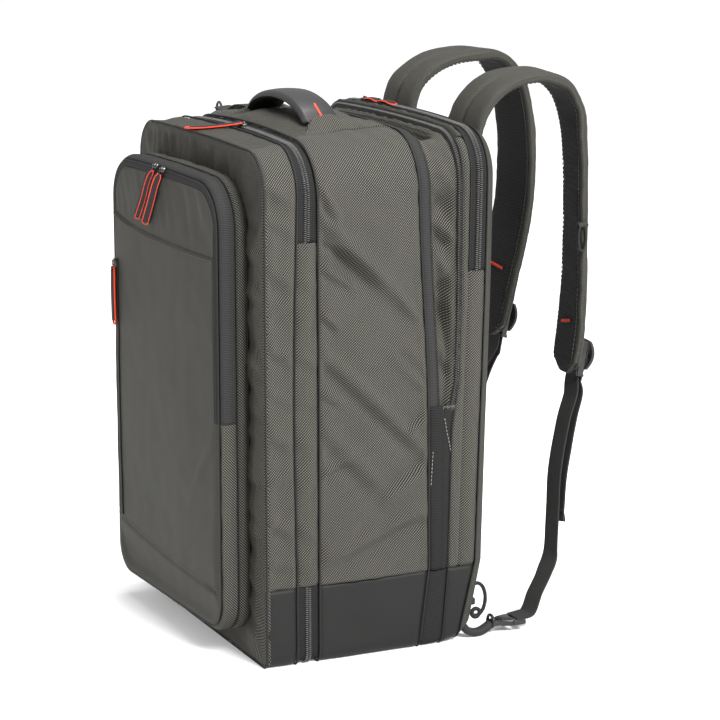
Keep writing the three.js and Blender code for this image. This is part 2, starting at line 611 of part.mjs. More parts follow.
const WEB_SHAPE = {
  width: WEB_WIDTH, thick: WEB_THICK, across: V(1, 0, 0), steps: 1, round: 6, square: 0.2,
};
// ladder lock on the outer face of the pad's end
const LOCK = { at: 0.93, width: 33, tall: 37, thick: 9 };
// webbing from the ladder lock down to the hook, and its free tail; offsets from the lock in y and z
const HOOK_LONG = 36;
const HOOK_Y = 27;      // from half the depth of the bag to the hook's middle
const HOOK = { x: HALF_WIDTH - 16, y: DEPTH / 2 + HOOK_Y, z: 9.5, wide: 26, long: HOOK_LONG, tall: 9 };
const WEB_RUN = [
  { x: 5, y: -6, z: -17 }, { x: 9, y: -15, z: -38 }, { x: 14, y: -25, z: -70 }, { x: 21, y: -33, z: -98 },
  { x: 28, y: -38, z: -125 }, { x: 34, y: -42, z: -148 }, { x: 40, y: -47, z: -172 },
];
const WEB_TAIL = [
  { x: 5, y: 0, z: -17 }, { x: 9, y: -7.5, z: -38 }, { x: 14, y: -17, z: -70 }, { x: 21, y: -26, z: -100 },
  { x: 27, y: -31.5, z: -130 }, { x: 29, y: -33, z: -142 },
];
// what lies at the foot of the back keeps its place from the bag's half width and half depth
const atFoot = (dx, dy, z) => ({ x: HALF_WIDTH + dx, y: DEPTH / 2 + dy, z });
const HOOK_START = HOOK_Y - HOOK_LONG / 2;
const FOOT_RUN = [
  atFoot(-33, 80, 47), atFoot(-26, 66, 30), atFoot(-18, 53, 14),
  atFoot(-18, HOOK_Y + HOOK_LONG / 2 + 0.6, 12),
];
const FOOT_LOOP = [
  atFoot(-11, -22, 9.5), atFoot(-10, -17, 4.5), atFoot(-10, -9, 2.2), atFoot(-11, -1, 4),
  atFoot(-13, HOOK_START - 4, 7.8), atFoot(-13, HOOK_START - 2 * GAP, 8.5),
];
const SIDE_RING = atFoot(-12, -2.5, 36);
const RING_TAB = atFoot(-12, -13.8, 37);

// the pieces at the end of one shoulder pad
function lockFrame(path) {
  const f = alongPath(path, LOCK.at, PAD_SHAPE);
  const centre = f.p.clone().addScaledVector(f.up, f.thick / 2 + GAP + LOCK.thick / 2);
  return { ...f, centre, foot: centre.clone().addScaledVector(f.tangent, LOCK.tall / 2 + GAP) };
}

function webbing(path, rows, ends, back) {
  const { foot, up, tangent } = lockFrame(path);
  const start = foot.clone().addScaledVector(up, back);
  const along = rows.map((k) => V(foot.x + k.x, foot.y + k.y, foot.z + k.z));
  return [start, start.clone().addScaledVector(tangent, 7), ...along, ...ends];
}

// Zip pulls: a flat moulded cord from its slider to its free end.
const PULL_SHAPE = { width: 5.5, thick: 2.4, steps: 1, round: 6, square: 0.4 };
const onFace = (x, z, off) => ({ x, y: pocketY(x, z, POCKET_DEPTH) - off, z });
const POCKET_PULLS = [
  { name: 'a', x0: -25, z0: 452, x1: -63, z1: 401 },
  { name: 'b', x0: -5, z0: 450.5, x1: -42, z1: 399 },
];
// a point of the skin above x, with the outward direction
function topPoint(from, to, t, x, lift) {
  const sec = between(from, to, t), a = Math.abs(x);
  let lo = SPANS.side, hi = 1;
  for (let i = 0; i < 40; i += 1) {
    const mid = (lo + hi) / 2;
    if (outlineAt(sec, mid).x > a) lo = mid; else hi = mid;
  }
  return bagPoint(from, to, t, (x < 0 ? -1 : 1) * (lo + hi) / 2, lift);
}

const FINISHES = {
  twill: { color: 0x64635a, roughness: 0.9, metalness: 0 },
  smooth: { color: 0x5c5a52, roughness: 0.65, metalness: 0 },
  tape: { color: 0x444444, roughness: 0.85, metalness: 0 },
  coat: { color: 0x464644, roughness: 0.6, metalness: 0 },
  rubber: { color: 0x413e40, roughness: 0.45, metalness: 0 },
  orange: { color: 0xf05032, roughness: 0.5, metalness: 0 },
  web: { color: 0x30302e, roughness: 0.85, metalness: 0 },
  mesh: { color: 0x232322, roughness: 0.95, metalness: 0 },
  plastic: { color: 0x2a2a2a, roughness: 0.4, metalness: 0 },
};

const bag = new THREE.Group();
const put = (name, geometry, finish) => {
  const mesh = new THREE.Mesh(geometry, new THREE.MeshStandardMaterial(FINISHES[finish]));
  mesh.name = name;
  bag.add(mesh);
};
const sides = [['right', 1], ['left', -1]];

const thin = { wall: THIN_WALL };
const tape = { wall: TAPE_WALL };

// The shell from front to back.
put('front_section', frontSection(), 'twill');
const frontZip = sunk(ZIP_PROFILE, ZIP_RECESS);
put('front_zip', band('zipA', 'zipB', arch(FRONT_ZIP_END), frontZip, tape), 'tape');
for (const [side, sign] of sides) {
  const patch = sidePatch(sign, BASE_TOP, FRONT_ZIP_END);
  const shape = [[0, -1.4], [0.5, -0.4], [1, -1.4]];
  put(`front_zip_patch_${side}`, band('zipA', 'zipB', patch, shape, thin), 'twill');
}
put('front_zip_base', band('zipA', 'zipB', trough(BASE_TOP), frontZip, tape), 'tape');
put('main_section', band('zipB', 'tapeA', arch(BASE_TOP), flat(5)), 'twill');
put('base_panel', band('zipB', 'tapeA', trough(BASE_TOP), flat(2)), 'coat');
put('expansion_tape', band('tapeA', 'tapeB', arch(MEET), flat(1, -0.6), tape), 'tape');
const slack = [[0, -2], [0.33, -FOLD], [0.66, -FOLD], [1, -2]];
put('expansion_gusset', band('tapeB', 'tapeC', arch(MEET), slack), 'twill');
const thinZip = [[0, -1], [0.3, COIL_RISE - 1], [0.6, -1], [1, -1]];
put('expansion_zip', band('tapeC', 'tapeD', arch(MEET), thinZip, tape), 'tape');
for (const [side, sign] of sides) {
  const flap = [[0, -0.6], [0.3, 0.6], [0.7, 0.6], [1, -0.6]];
  const patch = sidePatch(sign, BASE_TOP, MEET);
  put(`expansion_flap_${side}`, band('tapeA', 'tapeD', patch, flap, thin), 'tape');
}
const flapBase = [[0, -0.6], [0.5, 0], [1, -0.6]];
put('expansion_flap_base', band('tapeA', 'tapeD', trough(BASE_TOP), flapBase, thin), 'tape');
put('rear_section', band('tapeD', 'zipC', arch(BASE_TOP), flat(1)), 'twill');
put('rear_zip', band('zipC', 'zipD', arch(REAR_ZIP_END), sunk(ZIP_PROFILE, 1), tape), 'tape');
for (const [side, sign] of sides) {
  const patch = sidePatch(sign, BASE_TOP, REAR_ZIP_END);
  put(`rear_zip_patch_${side}`, band('zipC', 'zipD', patch, flat(1), thin), 'twill');
}
put('rear_base_panel', band('tapeD', 'zipD', trough(BASE_TOP), flat(1)), 'coat');
put('back_edging', backEdging(), 'smooth');
put('back_panel', backPanel(), 'mesh');

// The front pocket.
put('pocket_gusset', pocketGusset(), 'twill');
put('pocket_zip', pocketZip(), 'tape');
put('pocket_lower_side', pocketLowerSide(), 'twill');
put('pocket_face', pocketFace(), 'smooth');

// The grab handle, with a coloured slot in its near foot.
put('grab_handle', sweep(HANDLE_PATH, HANDLE_SHAPE), 'rubber');
const basis = (f) => [f.side, f.up, f.side.clone().cross(f.up)];
const underside = (f, thick) => f.p.clone().addScaledVector(f.up, -f.thick / 2 - GAP - thick / 2);
const inlay = alongPath(HANDLE_PATH, 0.86, HANDLE_SHAPE);
put('handle_inlay', tubeBlock(underside(inlay, 1), 2.4, 1, 15, basis(inlay)), 'orange');

// The shoulder straps with their buckles and webbing, and the rings low on the sides.
for (const [side, sign, path] of [['right', 1, PAD_NEAR], ['left', -1, PAD_FAR]]) {
  const flip = new THREE.Matrix4().makeScale(sign, 1, 1);
  const place = (name, geometry, finish) => {
    geometry.applyMatrix4(flip);
    if (sign < 0) geometry.setIndex(Array.from(geometry.index.array).reverse());
    put(`${name}_${side}`, geometry, finish);
  };
  place('shoulder_pad', sweep(path, PAD_SHAPE), 'smooth');
  const lock = lockFrame(path);
  place('ladder_lock', tubeBlock(lock.centre, LOCK.width, LOCK.thick, LOCK.tall, basis(lock)), 'plastic');
  place('strap_webbing', sweep(webbing(path, WEB_RUN, FOOT_RUN, -WEB_THICK), WEB_SHAPE), 'web');
  place('webbing_tail', sweep(webbing(path, WEB_TAIL, [], WEB_THICK), WEB_SHAPE), 'web');
  place('strap_hook', tubeBlock(V(HOOK.x, HOOK.y, HOOK.z), HOOK.wide, HOOK.long, HOOK.tall), 'plastic');
  place('foot_loop', sweep(FOOT_LOOP, { ...WEB_SHAPE, width: 18, thick: 2.6 }), 'web');
  const ringAt = V(SIDE_RING.x, SIDE_RING.y, SIDE_RING.z);
  place('side_ring', ringOf(ringAt, 8, 16, V(0, 1, 0), V(0, 0, 1), 3, 14, 6), 'plastic');
  place('ring_tab', tubeBlock(V(RING_TAB.x, RING_TAB.y, RING_TAB.z), 12, 2.6, 7), 'web');
  const tack = alongPath(path, 0.84, PAD_SHAPE);
  place('pad_tack', tubeBlock(underside(tack, 1), 26, 1, 2.4, basis(tack)), 'orange');
}
// a ring in a loop at the edge of the right pad
const RING = { at: 0.706, long: 14, wide: 4.5, wire: 2.6 };
const edge = alongPath(PAD_NEAR, RING.at, PAD_SHAPE);
const ringMiddle = edge.p.clone().addScaledVector(edge.side, edge.width / 2 + RING.wire / 2 + GAP)
  .addScaledVector(V(0, 1, 0), -1.3 * RING.wire);
const padRing = ringOf(ringMiddle, RING.wide, RING.long, V(0, 1, 0), V(0, 0, 1), RING.wire, 12, 6);
put('pad_ring', padRing, 'plastic');

// Zip pulls, and the upright zip on the pocket's face.
for (const { name, x0, z0, x1, z1 } of POCKET_PULLS) {
  const path = [[0, 3], [0.2, 3.2], [0.6, 2.2], [1, 1.7]].map(([t, off]) =>
    onFace(mix(x0, x1, t), mix(z0, z1, t), off));
  put(`pocket_pull_${name}`, sweep(path, { ...PULL_SHAPE, across: V(1, 0, 0) }), 'orange');
}
const SIDE_ZIP_X = POCKET_X - POCKET_HALF + 18;
const SIDE_ZIP_SHAPE = { width: 7, thick: 1.6, across: V(1, 0, 0), steps: 2, round: 6, square: 0.3 };
const SIDE_ZIP_OFF = GAP + 0.9;
const sideZip = [0.176, 0.3, 0.44, 0.58, 0.7].map((z) => onFace(SIDE_ZIP_X, z * HEIGHT, SIDE_ZIP_OFF));
put('side_zip', sweep(sideZip, SIDE_ZIP_SHAPE), 'tape');
const sidePull = [0.69, 0.65, 0.58].map((z) => onFace(SIDE_ZIP_X, z * HEIGHT, SIDE_ZIP_OFF + GAP + 2));
put('side_zip_pull', sweep(sidePull, { ...PULL_SHAPE, across: V(1, 0, 0) }), 'orange');

const FRONT_PULL = [
  { from: 'zipA', to: 'zipB', t: 0.48, x: 6, lift: 2.8 },
  { from: 'face', to: 'zipA', t: 0.75, x: -4, lift: 2.0 },
  { from: 'face', to: 'zipA', t: 0.25, x: -16, lift: 1.8 },
  { from: 'face', to: 'zipA', t: 0.03, x: -23, lift: 2.2 },
];
const frontPull = FRONT_PULL.map((k) => topPoint(k.from, k.to, k.t, k.x, k.lift).p);
put('front_zip_pull', sweep(frontPull, { ...PULL_SHAPE, across: V(1, 0, 0) }), 'orange');

for (const [name, x] of [['a', -0.562], ['b', -0.35]]) {
  const path = [[0, 2.2], [9, 3.4], [19, 3.4], [28, 2.2]].map(([dx, lift]) =>
    topPoint('zipC', 'zipD', 0.5, x * HALF_WIDTH + dx, COIL_RISE - 2 + GAP + lift).p);
  put(`rear_zip_pull_${name}`, sweep(path, { ...PULL_SHAPE, across: V(0, 1, 0) }), 'orange');
}

// A webbing tab with a ring beyond the left end of the handle.
const TAB = [[-0.6, 0.40, 1.5], [-0.7, 0.36, 1.5], [-0.8, 0.33, 2.5]].map(([x, t, lift]) =>
  topPoint('zipB', 'tapeA', t, x * HALF_WIDTH, lift).p);
const TAB_END = V(-0.938 * HALF_WIDTH, -24, HEIGHT - 10);
const TAB_SHAPE = { width: 20, thick: 2, across: V(0, 1, 0), steps: 1, round: 6, square: 0.2 };
put('top_tab', sweep([...TAB, TAB_END], TAB_SHAPE), 'web');
const tabRing = TAB_END.clone().add(V(-7.5, -0.3, -3));
put('tab_ring', ringOf(tabRing, 6.5, 7, V(1, 0, 0), V(0, 0, 1), 2.6, 14, 6), 'plastic');

export default bag;
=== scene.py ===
import json
import math

import bpy
import numpy as np
from mathutils import Matrix, Vector, noise

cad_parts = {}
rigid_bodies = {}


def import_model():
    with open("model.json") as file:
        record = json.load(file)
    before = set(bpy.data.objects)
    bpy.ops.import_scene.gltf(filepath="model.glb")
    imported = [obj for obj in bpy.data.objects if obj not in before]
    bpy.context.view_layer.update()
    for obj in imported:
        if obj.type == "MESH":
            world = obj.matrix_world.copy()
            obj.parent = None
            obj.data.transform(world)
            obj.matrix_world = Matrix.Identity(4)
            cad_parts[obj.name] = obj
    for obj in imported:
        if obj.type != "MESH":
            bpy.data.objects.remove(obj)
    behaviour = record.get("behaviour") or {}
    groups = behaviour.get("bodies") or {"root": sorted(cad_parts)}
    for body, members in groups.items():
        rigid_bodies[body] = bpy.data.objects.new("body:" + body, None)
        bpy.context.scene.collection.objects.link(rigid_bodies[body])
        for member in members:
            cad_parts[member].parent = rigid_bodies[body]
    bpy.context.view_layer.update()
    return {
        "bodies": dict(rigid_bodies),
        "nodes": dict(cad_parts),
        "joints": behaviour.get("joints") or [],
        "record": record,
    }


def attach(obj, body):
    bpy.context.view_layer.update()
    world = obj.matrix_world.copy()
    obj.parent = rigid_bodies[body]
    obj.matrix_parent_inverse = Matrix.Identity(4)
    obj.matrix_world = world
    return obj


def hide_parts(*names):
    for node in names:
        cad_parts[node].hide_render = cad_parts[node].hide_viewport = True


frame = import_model()

# The camera stands at the bag's right and a little above it. The lowest corner of the front section
# lands on its pixel of the photograph.
AZIMUTH, ELEVATION = math.radians(65), math.radians(12.2)
CORNER, CORNER_PIXEL = Vector((0.16, -0.11, 0)), (267, 671)
DISTANCE, LENS, SENSOR, FRAME_SIDE = 2.45, 130, 36, 720
camera = bpy.data.objects.new("camera", bpy.data.cameras.new("camera"))
bpy.context.collection.objects.link(camera)
camera.data.lens, camera.data.sensor_width = LENS, SENSOR
right = Vector((math.cos(AZIMUTH), math.sin(AZIMUTH), 0))
back = Vector((right.y * math.cos(ELEVATION), -right.x * math.cos(ELEVATION), math.sin(ELEVATION)))
pixel = DISTANCE * SENSOR / LENS / FRAME_SIDE
across, down = (CORNER_PIXEL[0] - FRAME_SIDE / 2) * pixel, (CORNER_PIXEL[1] - FRAME_SIDE / 2) * pixel
camera.location = CORNER + back * DISTANCE - right * across + back.cross(right) * down
camera.rotation_euler = (math.pi / 2 - ELEVATION, 0, AZIMUTH)
bpy.context.scene.camera = camera

# The floor is plain and pale and glows a little away from the bag, as a lit sweep does. Soft light
# comes from a broad source at the bag's right, weaker ones at the front and above, and a bright sky.
bpy.ops.mesh.primitive_plane_add(size=60)
floor = bpy.context.object
floor.name = "floor"
paper = bpy.data.materials.new("floor_paper")
paper.use_nodes = True
nodes, links = paper.node_tree.nodes, paper.node_tree.links
shader = nodes["Principled BSDF"]
shader.inputs["Base Color"].default_value = (0.80, 0.80, 0.80, 1)
shader.inputs["Roughness"].default_value = 0.9
shader.inputs["Emission Color"].default_value = (1, 1, 1, 1)
place, reach, glow = (nodes.new("ShaderNode" + kind) for kind in ("TexCoord", "VectorMath", "MapRange"))
reach.operation = "LENGTH"
for socket, value in zip(glow.inputs[1:5], (0.3, 1.6, 0.12, 0.45)):
    socket.default_value = value
links.new(place.outputs["Object"], reach.inputs[0])
links.new(reach.outputs["Value"], glow.inputs["Value"])
links.new(glow.outputs["Result"], shader.inputs["Emission Strength"])
floor.data.materials.append(paper)
world = bpy.data.worlds.new("studio")
world.use_nodes = True
world.node_tree.nodes["Background"].inputs["Color"].default_value = (1, 1, 1, 1)
world.node_tree.nodes["Background"].inputs["Strength"].default_value = 0.66
bpy.context.scene.world = world
bpy.context.scene.view_settings.view_transform = "Standard"
for name, place, size, power in (
    ("key", (2.1, 0.4, 1.9), 0.9, 155),
    ("front", (-0.2, -2.8, 1.6), 1.4, 37),
    ("top", (-0.3, 0.1, 2.8), 1.2, 60),
):
    lamp = bpy.data.objects.new(name, bpy.data.lights.new(name, "AREA"))
    lamp.data.size, lamp.data.energy = size, power
    lamp.location = place
    lamp.rotation_euler = (Vector(place) - Vector((0, 0, 0.25))).to_track_quat("Z", "Y").to_euler()
    bpy.context.collection.objects.link(lamp)

# Front section: a shallow tray of cloth behind the pocket. Its face and top are smooth cloth, its
# sides are coarse twill with painted highlight on the thread tops and painted shade between them,
# and a coated panel wraps its lowest part. The panels are
# sewn edge to edge, and a thin piping covers the seam round the face.
HEIGHT, HALF_WIDTH, DEPTH, TOP_ROUND, LOW_ROUND = 0.5, 0.16, 0.25, 0.05, 0.01
FRONT_Y, FRONT_ROUND, BASE_TOP, WAIST = -0.11, 0.004, 0.077, 0.24
LEAN_AT = np.array([0, 0.16, 0.43, 0.524, 0.68, 0.89, 1]) * HEIGHT
SEAM_COLUMNS = ("half", "half_top", "top", "crown", "r_top", "low", "r_low")
SEAM_UNITS = (HALF_WIDTH, HALF_WIDTH, HEIGHT, HEIGHT, TOP_ROUND, LOW_ROUND, LOW_ROUND)
SEAM_SHARES = {
    "face": ((-0.44,) * 7, (1, 1, 0.982, 0.006, 0.76, 0, 1)),
    "zipA": ((-0.312, -0.312, -0.32, -0.32, -0.316, -0.304, -0.304), (1, 0.994, 0.99, 0.01, 0.88, 0, 1)),
    "zipB": ((-0.22,) * 7, (1, 0.988, 0.996, 0.018, 1.08, 0, 1)),
    "tapeA": ((0.2, 0.24, 0.236, 0.232, 0.225, 0.216, 0.216), (1, 0.925, 0.998, 0.01, 1.12, 0, 1)),
    "tapeB": ((0.28, 0.288, 0.284, 0.276, 0.267, 0.26, 0.26), (1, 0.931, 0.996, 0.01, 1.12, 0, 1)),
    "tapeC": ((0.28, 0.288, 0.304, 0.346, 0.359, 0.360, 0.360), (1, 0.975, 0.998, 0.008, 0.96, 0, 1)),
    "tapeD": ((0.296, 0.324, 0.336, 0.364, 0.372, 0.376, 0.376), (1, 0.994, 1.004, 0.008, 0.88, 0, 1)),
    "zipC": ((0.32, 0.368, 0.384, 0.39, 0.4, 0.406, 0.408), (1, 1.006, 1.007, 0.012, 0.84, 0, 1)),
    "zipD": ((0.364, 0.44, 0.456, 0.463, 0.470, 0.475, 0.475), (1, 1.012, 1.007, 0.012, 0.84, 0.3, 1.2)),
    "back": ((0.412, 0.478, 0.492, 0.498, 0.506, 0.512, 0.512), (0.982, 0.988, 1, 0.01, 0.84, 0.9, 1.4)),
}
SEAMS = {}
for seam, (lean, shares) in SEAM_SHARES.items():
    SEAMS[seam] = dict(zip(SEAM_COLUMNS, (s * unit for s, unit in zip(shares, SEAM_UNITS))))
    SEAMS[seam]["lean"] = np.array(lean) * DEPTH
# s along half an outline: 0 the middle of the floor, 1 the middle of the top
FLOOR, LOW_CORNER, SIDE, TOP_CORNER = 0.1, 0.2, 0.7, 0.86
# the panel's first seam; middle and half size across it, then up the side; slope; rise in metres
FOLDS = (
    ("zipB", 0.50, 0.45, 0.94, 0.12, 0, 0.003), ("zipB", 0.18, 0.14, 0.60, 0.06, -0.06, -0.0024),
    ("zipB", 0.30, 0.20, 0.41, 0.044, 0.08, -0.0026), ("zipB", 0.62, 0.30, 0.24, 0.036, 0.048, -0.0022),
    ("zipB", 0.55, 0.30, 0.66, 0.18, 0, 0.0026), ("zipB", 0.45, 0.30, 0.06, 0.032, 0, -0.0012),
    ("face", 0.45, 0.25, 0.66, 0.12, 0, -0.0016), ("face", 0.45, 0.25, 0.30, 0.14, 0, -0.0014),
    ("tapeB", 0.40, 0.35, 0.86, 0.044, 0.04, -0.0045), ("tapeB", 0.55, 0.35, 0.75, 0.052, -0.068, -0.005),
    ("tapeB", 0.45, 0.40, 0.64, 0.04, -0.06, -0.004), ("tapeB", 0.50, 0.45, 0.56, 0.032, 0.032, -0.003),
    ("tapeD", 0.50, 0.40, 0.60, 0.052, 0.02, -0.0012),
)


def ease(v):
    v = np.clip(v, 0, 1)
    return v * v * (3 - 2 * v)


def between(first, last, t):
    """The outline at a share t of the way between two seams."""
    return {key: SEAMS[first][key] * (1 - t) + SEAMS[last][key] * t for key in SEAMS[first]}


def outline(sec, s):
    """x and z of points on an outline; the sign of s is the side."""
    a, in_top, in_low = np.abs(s), sec["half_top"] - sec["r_top"], sec["half"] - sec["r_low"]
    side_low = sec["low"] + sec["r_low"]
    corner_z = sec["top"] - sec["crown"] * (in_top / sec["half_top"]) ** 2 - sec["r_top"]
    low = np.clip((a - FLOOR) / (LOW_CORNER - FLOOR), 0, 1) * math.pi / 2
    high = np.clip((a - SIDE) / (TOP_CORNER - SIDE), 0, 1) * math.pi / 2
    side_z = side_low + (corner_z - side_low) * (a - LOW_CORNER) / (SIDE - LOW_CORNER)
    side_x = sec["half"] + (sec["half_top"] - sec["half"]) * ease((side_z - WAIST) / (corner_z - WAIST))
    top_x = in_top * (1 - a) / (1 - TOP_CORNER)
    zones = (a <= FLOOR, a <= LOW_CORNER, a <= SIDE, a <= TOP_CORNER)
    x = np.select(zones, (in_low * a / FLOOR, in_low + sec["r_low"] * np.sin(low), side_x,
                          in_top + sec["r_top"] * np.cos(high)), top_x)
    z = np.select(zones, (sec["low"] + 0 * a, side_low - sec["r_low"] * np.cos(low), side_z,
                          corner_z + sec["r_top"] * np.sin(high)),
                  sec["top"] - sec["crown"] * (top_x / sec["half_top"]) ** 2)
    return sec.get("cx", 0) + np.where(np.asarray(s) < 0, -x, x), z


def outward(sec, s):
    """Direction away from the bag across the outline."""
    a, step = np.abs(s), 1e-4
    x0, z0 = outline({**sec, "cx": 0}, np.clip(a - step, 0, 1))
    x1, z1 = outline({**sec, "cx": 0}, np.clip(a + step, 0, 1))
    size = np.hypot(x1 - x0, z1 - z0)
    return np.where(np.asarray(s) < 0, -1, 1) * (z1 - z0) / size, -(x1 - x0) / size


def s_at(sec, z):
    """s of the outline's right side at a height."""
    s = np.linspace(FLOOR, TOP_CORNER, 1200)
    return float(np.interp(z, outline(sec, s)[1], s))


# A way round the bag is q: 0 under the floor, up the right side, 1 over the top, down the left side
# to 2. Each function gives both ends of a panel on a given outline.
def arch(z):
    return lambda sec: (s_at(sec, z), 2 - s_at(sec, z))


def trough(z):
    return lambda sec: (-s_at(sec, z), s_at(sec, z))


def on_side(sign, low, high):
    def ends(sec):
        q = [s_at(sec, v) if v > 0 else -v for v in (low, high)]
        return q if sign > 0 else [2 - v for v in q]
    return ends


def over(s):
    return lambda sec: (s, 2 - s)


def spread(sec, ends, count):
    """count + 1 points at even distances round the outline: s, x, z and distance."""
    q = np.linspace(*ends, 1500)
    s = np.where(q > 1, q - 2, q)
    x, z = outline(sec, s)
    run = np.concatenate(([0], np.cumsum(np.hypot(np.diff(x), np.diff(z)))))
    even = np.linspace(0, run[-1], count + 1)
    q = np.interp(even, run, q)
    s = np.where(q > 1, q - 2, q)
    return s, *outline(sec, s), even


def folds_of(seam, t, z):
    rise = 0 * z
    for name, at, deep, middle, tall, slope, height in FOLDS:
        if name == seam:
            up = (z / HEIGHT - middle - slope * (t - at)) / tall
            rise = rise + height * np.exp(-up ** 2 - ((t - at) / deep) ** 2)
    fade = np.clip(t / 0.12, 0, 1) * np.clip((1 - t) / 0.12, 0, 1)
    return rise * fade * (z > 0.014)


def ripple(points, size, seed):
    """Smooth noise at every point, from -1 to 1."""
    flat = points.reshape(-1, 3) / size
    values = [noise.noise(Vector((p[0] + seed, p[1], p[2]))) for p in flat]
    return np.array(values).reshape(points.shape[:-1])


def cloth_mesh(name, points, outwards, finish, thick=0.0012, ring=False, pole=False, uv=None):
    """A sewn panel from a grid of points: a closed sheet with its thickness inwards."""
    rows, cols = points.shape[:2]
    steps = cols if ring else cols - 1
    vertices = points.reshape(-1, 3)
    faces = [(i * cols + j, i * cols + (j + 1) % cols, (i + 1) * cols + (j + 1) % cols, (i + 1) * cols + j)
             for i in range(rows - 1) for j in range(steps)]
    a, b, c, _ = faces[len(faces) // 2]
    normal = np.cross(vertices[b] - vertices[a], vertices[c] - vertices[b])
    if np.dot(normal, outwards.reshape(-1, 3)[a]) < 0:
        faces = [face[::-1] for face in faces]
    mesh = bpy.data.meshes.new(name)
    mesh.from_pydata(vertices.tolist(), [], faces)
    if uv is None:
        along = np.linalg.norm(np.diff(points, axis=1), axis=2).mean(axis=0)
        over_rows = np.linalg.norm(np.diff(points, axis=0), axis=2).mean(axis=1)
        run_u, run_v = np.concatenate(([0], along.cumsum())), np.concatenate(([0], over_rows.cumsum()))
        uv = np.stack(np.broadcast_arrays(run_u[None, :], run_v[:, None]), axis=-1)
    layer = mesh.uv_layers.new(name="weave")
    corner = np.empty(len(mesh.loops), dtype=int)
    mesh.loops.foreach_get("vertex_index", corner)
    flat_uv = uv.reshape(-1, 2)[corner]
    if ring:
        loop_u = flat_uv[:, 0].reshape(-1, 4)
        wide = loop_u.max(axis=1) - loop_u.min(axis=1) > uv[..., 0].max() / 2
        last = 2 * uv[:, -1, 0].mean() - uv[:, -2, 0].mean()
        loop_u[wide] = np.where(loop_u[wide] < last / 2, loop_u[wide] + last, loop_u[wide])
    layer.data.foreach_set("uv", flat_uv.ravel())
    piece = bpy.data.objects.new(name, mesh)
    bpy.context.collection.objects.link(piece)
    mesh.materials.append(finish)
    bpy.ops.object.select_all(action="DESELECT")
    piece.select_set(True)
    bpy.context.view_layer.objects.active = piece
    if pole:
        bpy.ops.object.mode_set(mode="EDIT")
        bpy.ops.mesh.select_all(action="SELECT")
        bpy.ops.mesh.remove_doubles(threshold=1e-6)
        bpy.ops.object.mode_set(mode="OBJECT")
    wall = piece.modifiers.new("wall", "SOLIDIFY")
    wall.thickness, wall.offset = thick, -1
    bpy.ops.object.modifier_apply(modifier="wall")
    bpy.ops.object.shade_smooth()
    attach(piece, "root")
    return piece


def panel(name, first, last, ends, finish, rows=16, step=0.004, lift=((0, 0), (1, 0)), roll=0.0016,
          roll_ends=True, crease=None, pucker=0.0006, seed=0, slack=0.0):
    """A panel between two seams. lift: rise over its depth. Its edges turn in at the seams.
    slack: height of the slanting ripples between them."""
    shares = 0.5 - 0.5 * np.cos(np.linspace(0, math.pi, rows + 1))
    length = spread(between(first, last, 0.5), ends(between(first, last, 0.5)), 10)[3][-1]
    count = max(4, math.ceil(length / step))
    grid, outs, flat = [], [], []
    for t in shares:
        sec = between(first, last, t)
        s, x, z, run = spread(sec, ends(sec), count)
        nx, nz = outward(sec, s)
        grid.append(np.stack((x, np.interp(z, LEAN_AT, sec["lean"]), z), axis=1))
        outs.append(np.stack((nx, 0 * nx, nz), axis=1))
        flat.append(run)
    grid, outs, run = np.array(grid), np.array(outs), np.array(flat)
    wide = np.linalg.norm(np.diff(grid, axis=0), axis=2).cumsum(axis=0)
    depth = np.concatenate((np.zeros((1, count + 1)), wide))
    edge = np.minimum(depth, depth[-1] - depth)
    near_end = np.minimum(run, run[:, -1:] - run)
    t = shares[:, None] + 0 * run
    rise = np.interp(t, *zip(*lift)) + folds_of(first, t, grid[..., 2])
    if crease:
        rise = rise + crease(t, grid) * ease(edge / 0.008)
    rise = rise + pucker * np.exp(-edge / 0.012) * ripple(grid, 0.009, seed + 3)
    rise = rise + 2.2 * pucker * ripple(grid, 0.045, seed + 9) * ease(edge / 0.01)
    if slack:
        turn = 0.75 - 1.5 * ease((grid[..., 2] - 0.10) / 0.34)
        y, z = grid[..., 1], grid[..., 2]
        off, along = y * np.sin(turn) - z * np.cos(turn), y * np.cos(turn) + z * np.sin(turn)
        slanting = np.stack((off, 0.28 * along, 0 * y), axis=-1)
        rise = rise + slack * ripple(slanting, 0.011, seed + 13) * ease(edge / 0.01)
    rise = rise - roll * np.exp(-(edge / 0.0022) ** 2)
    if roll_ends:
        rise = rise - 0.6 * roll * np.exp(-(near_end / 0.0022) ** 2)
    grid = grid + outs * rise[..., None]
    v = depth + 0 * run
    return cloth_mesh(name, grid, outs, finish, uv=np.stack((run, v), axis=-1))


class Wire:
    """A value in a finish, so that patterns are written as sums and products."""

    def __init__(self, finish, socket):
        self.finish, self.socket = finish, socket

    def math(self, operation, *values):
        return self.finish.node("ShaderNodeMath", {"operation": operation}, *values)

    def __add__(self, other):
        return self.math("ADD", self, other)

    def __sub__(self, other):
        return self.math("SUBTRACT", self, other)

    def __rsub__(self, other):
        return self.math("SUBTRACT", other, self)

    def __mul__(self, other):
        return self.math("MULTIPLY", self, other)

    __radd__, __rmul__ = __add__, __mul__

    def wave(self):
        """Humps of height 1, one for every whole number."""
        return self.math("ABSOLUTE", self.math("SINE", self * math.pi))


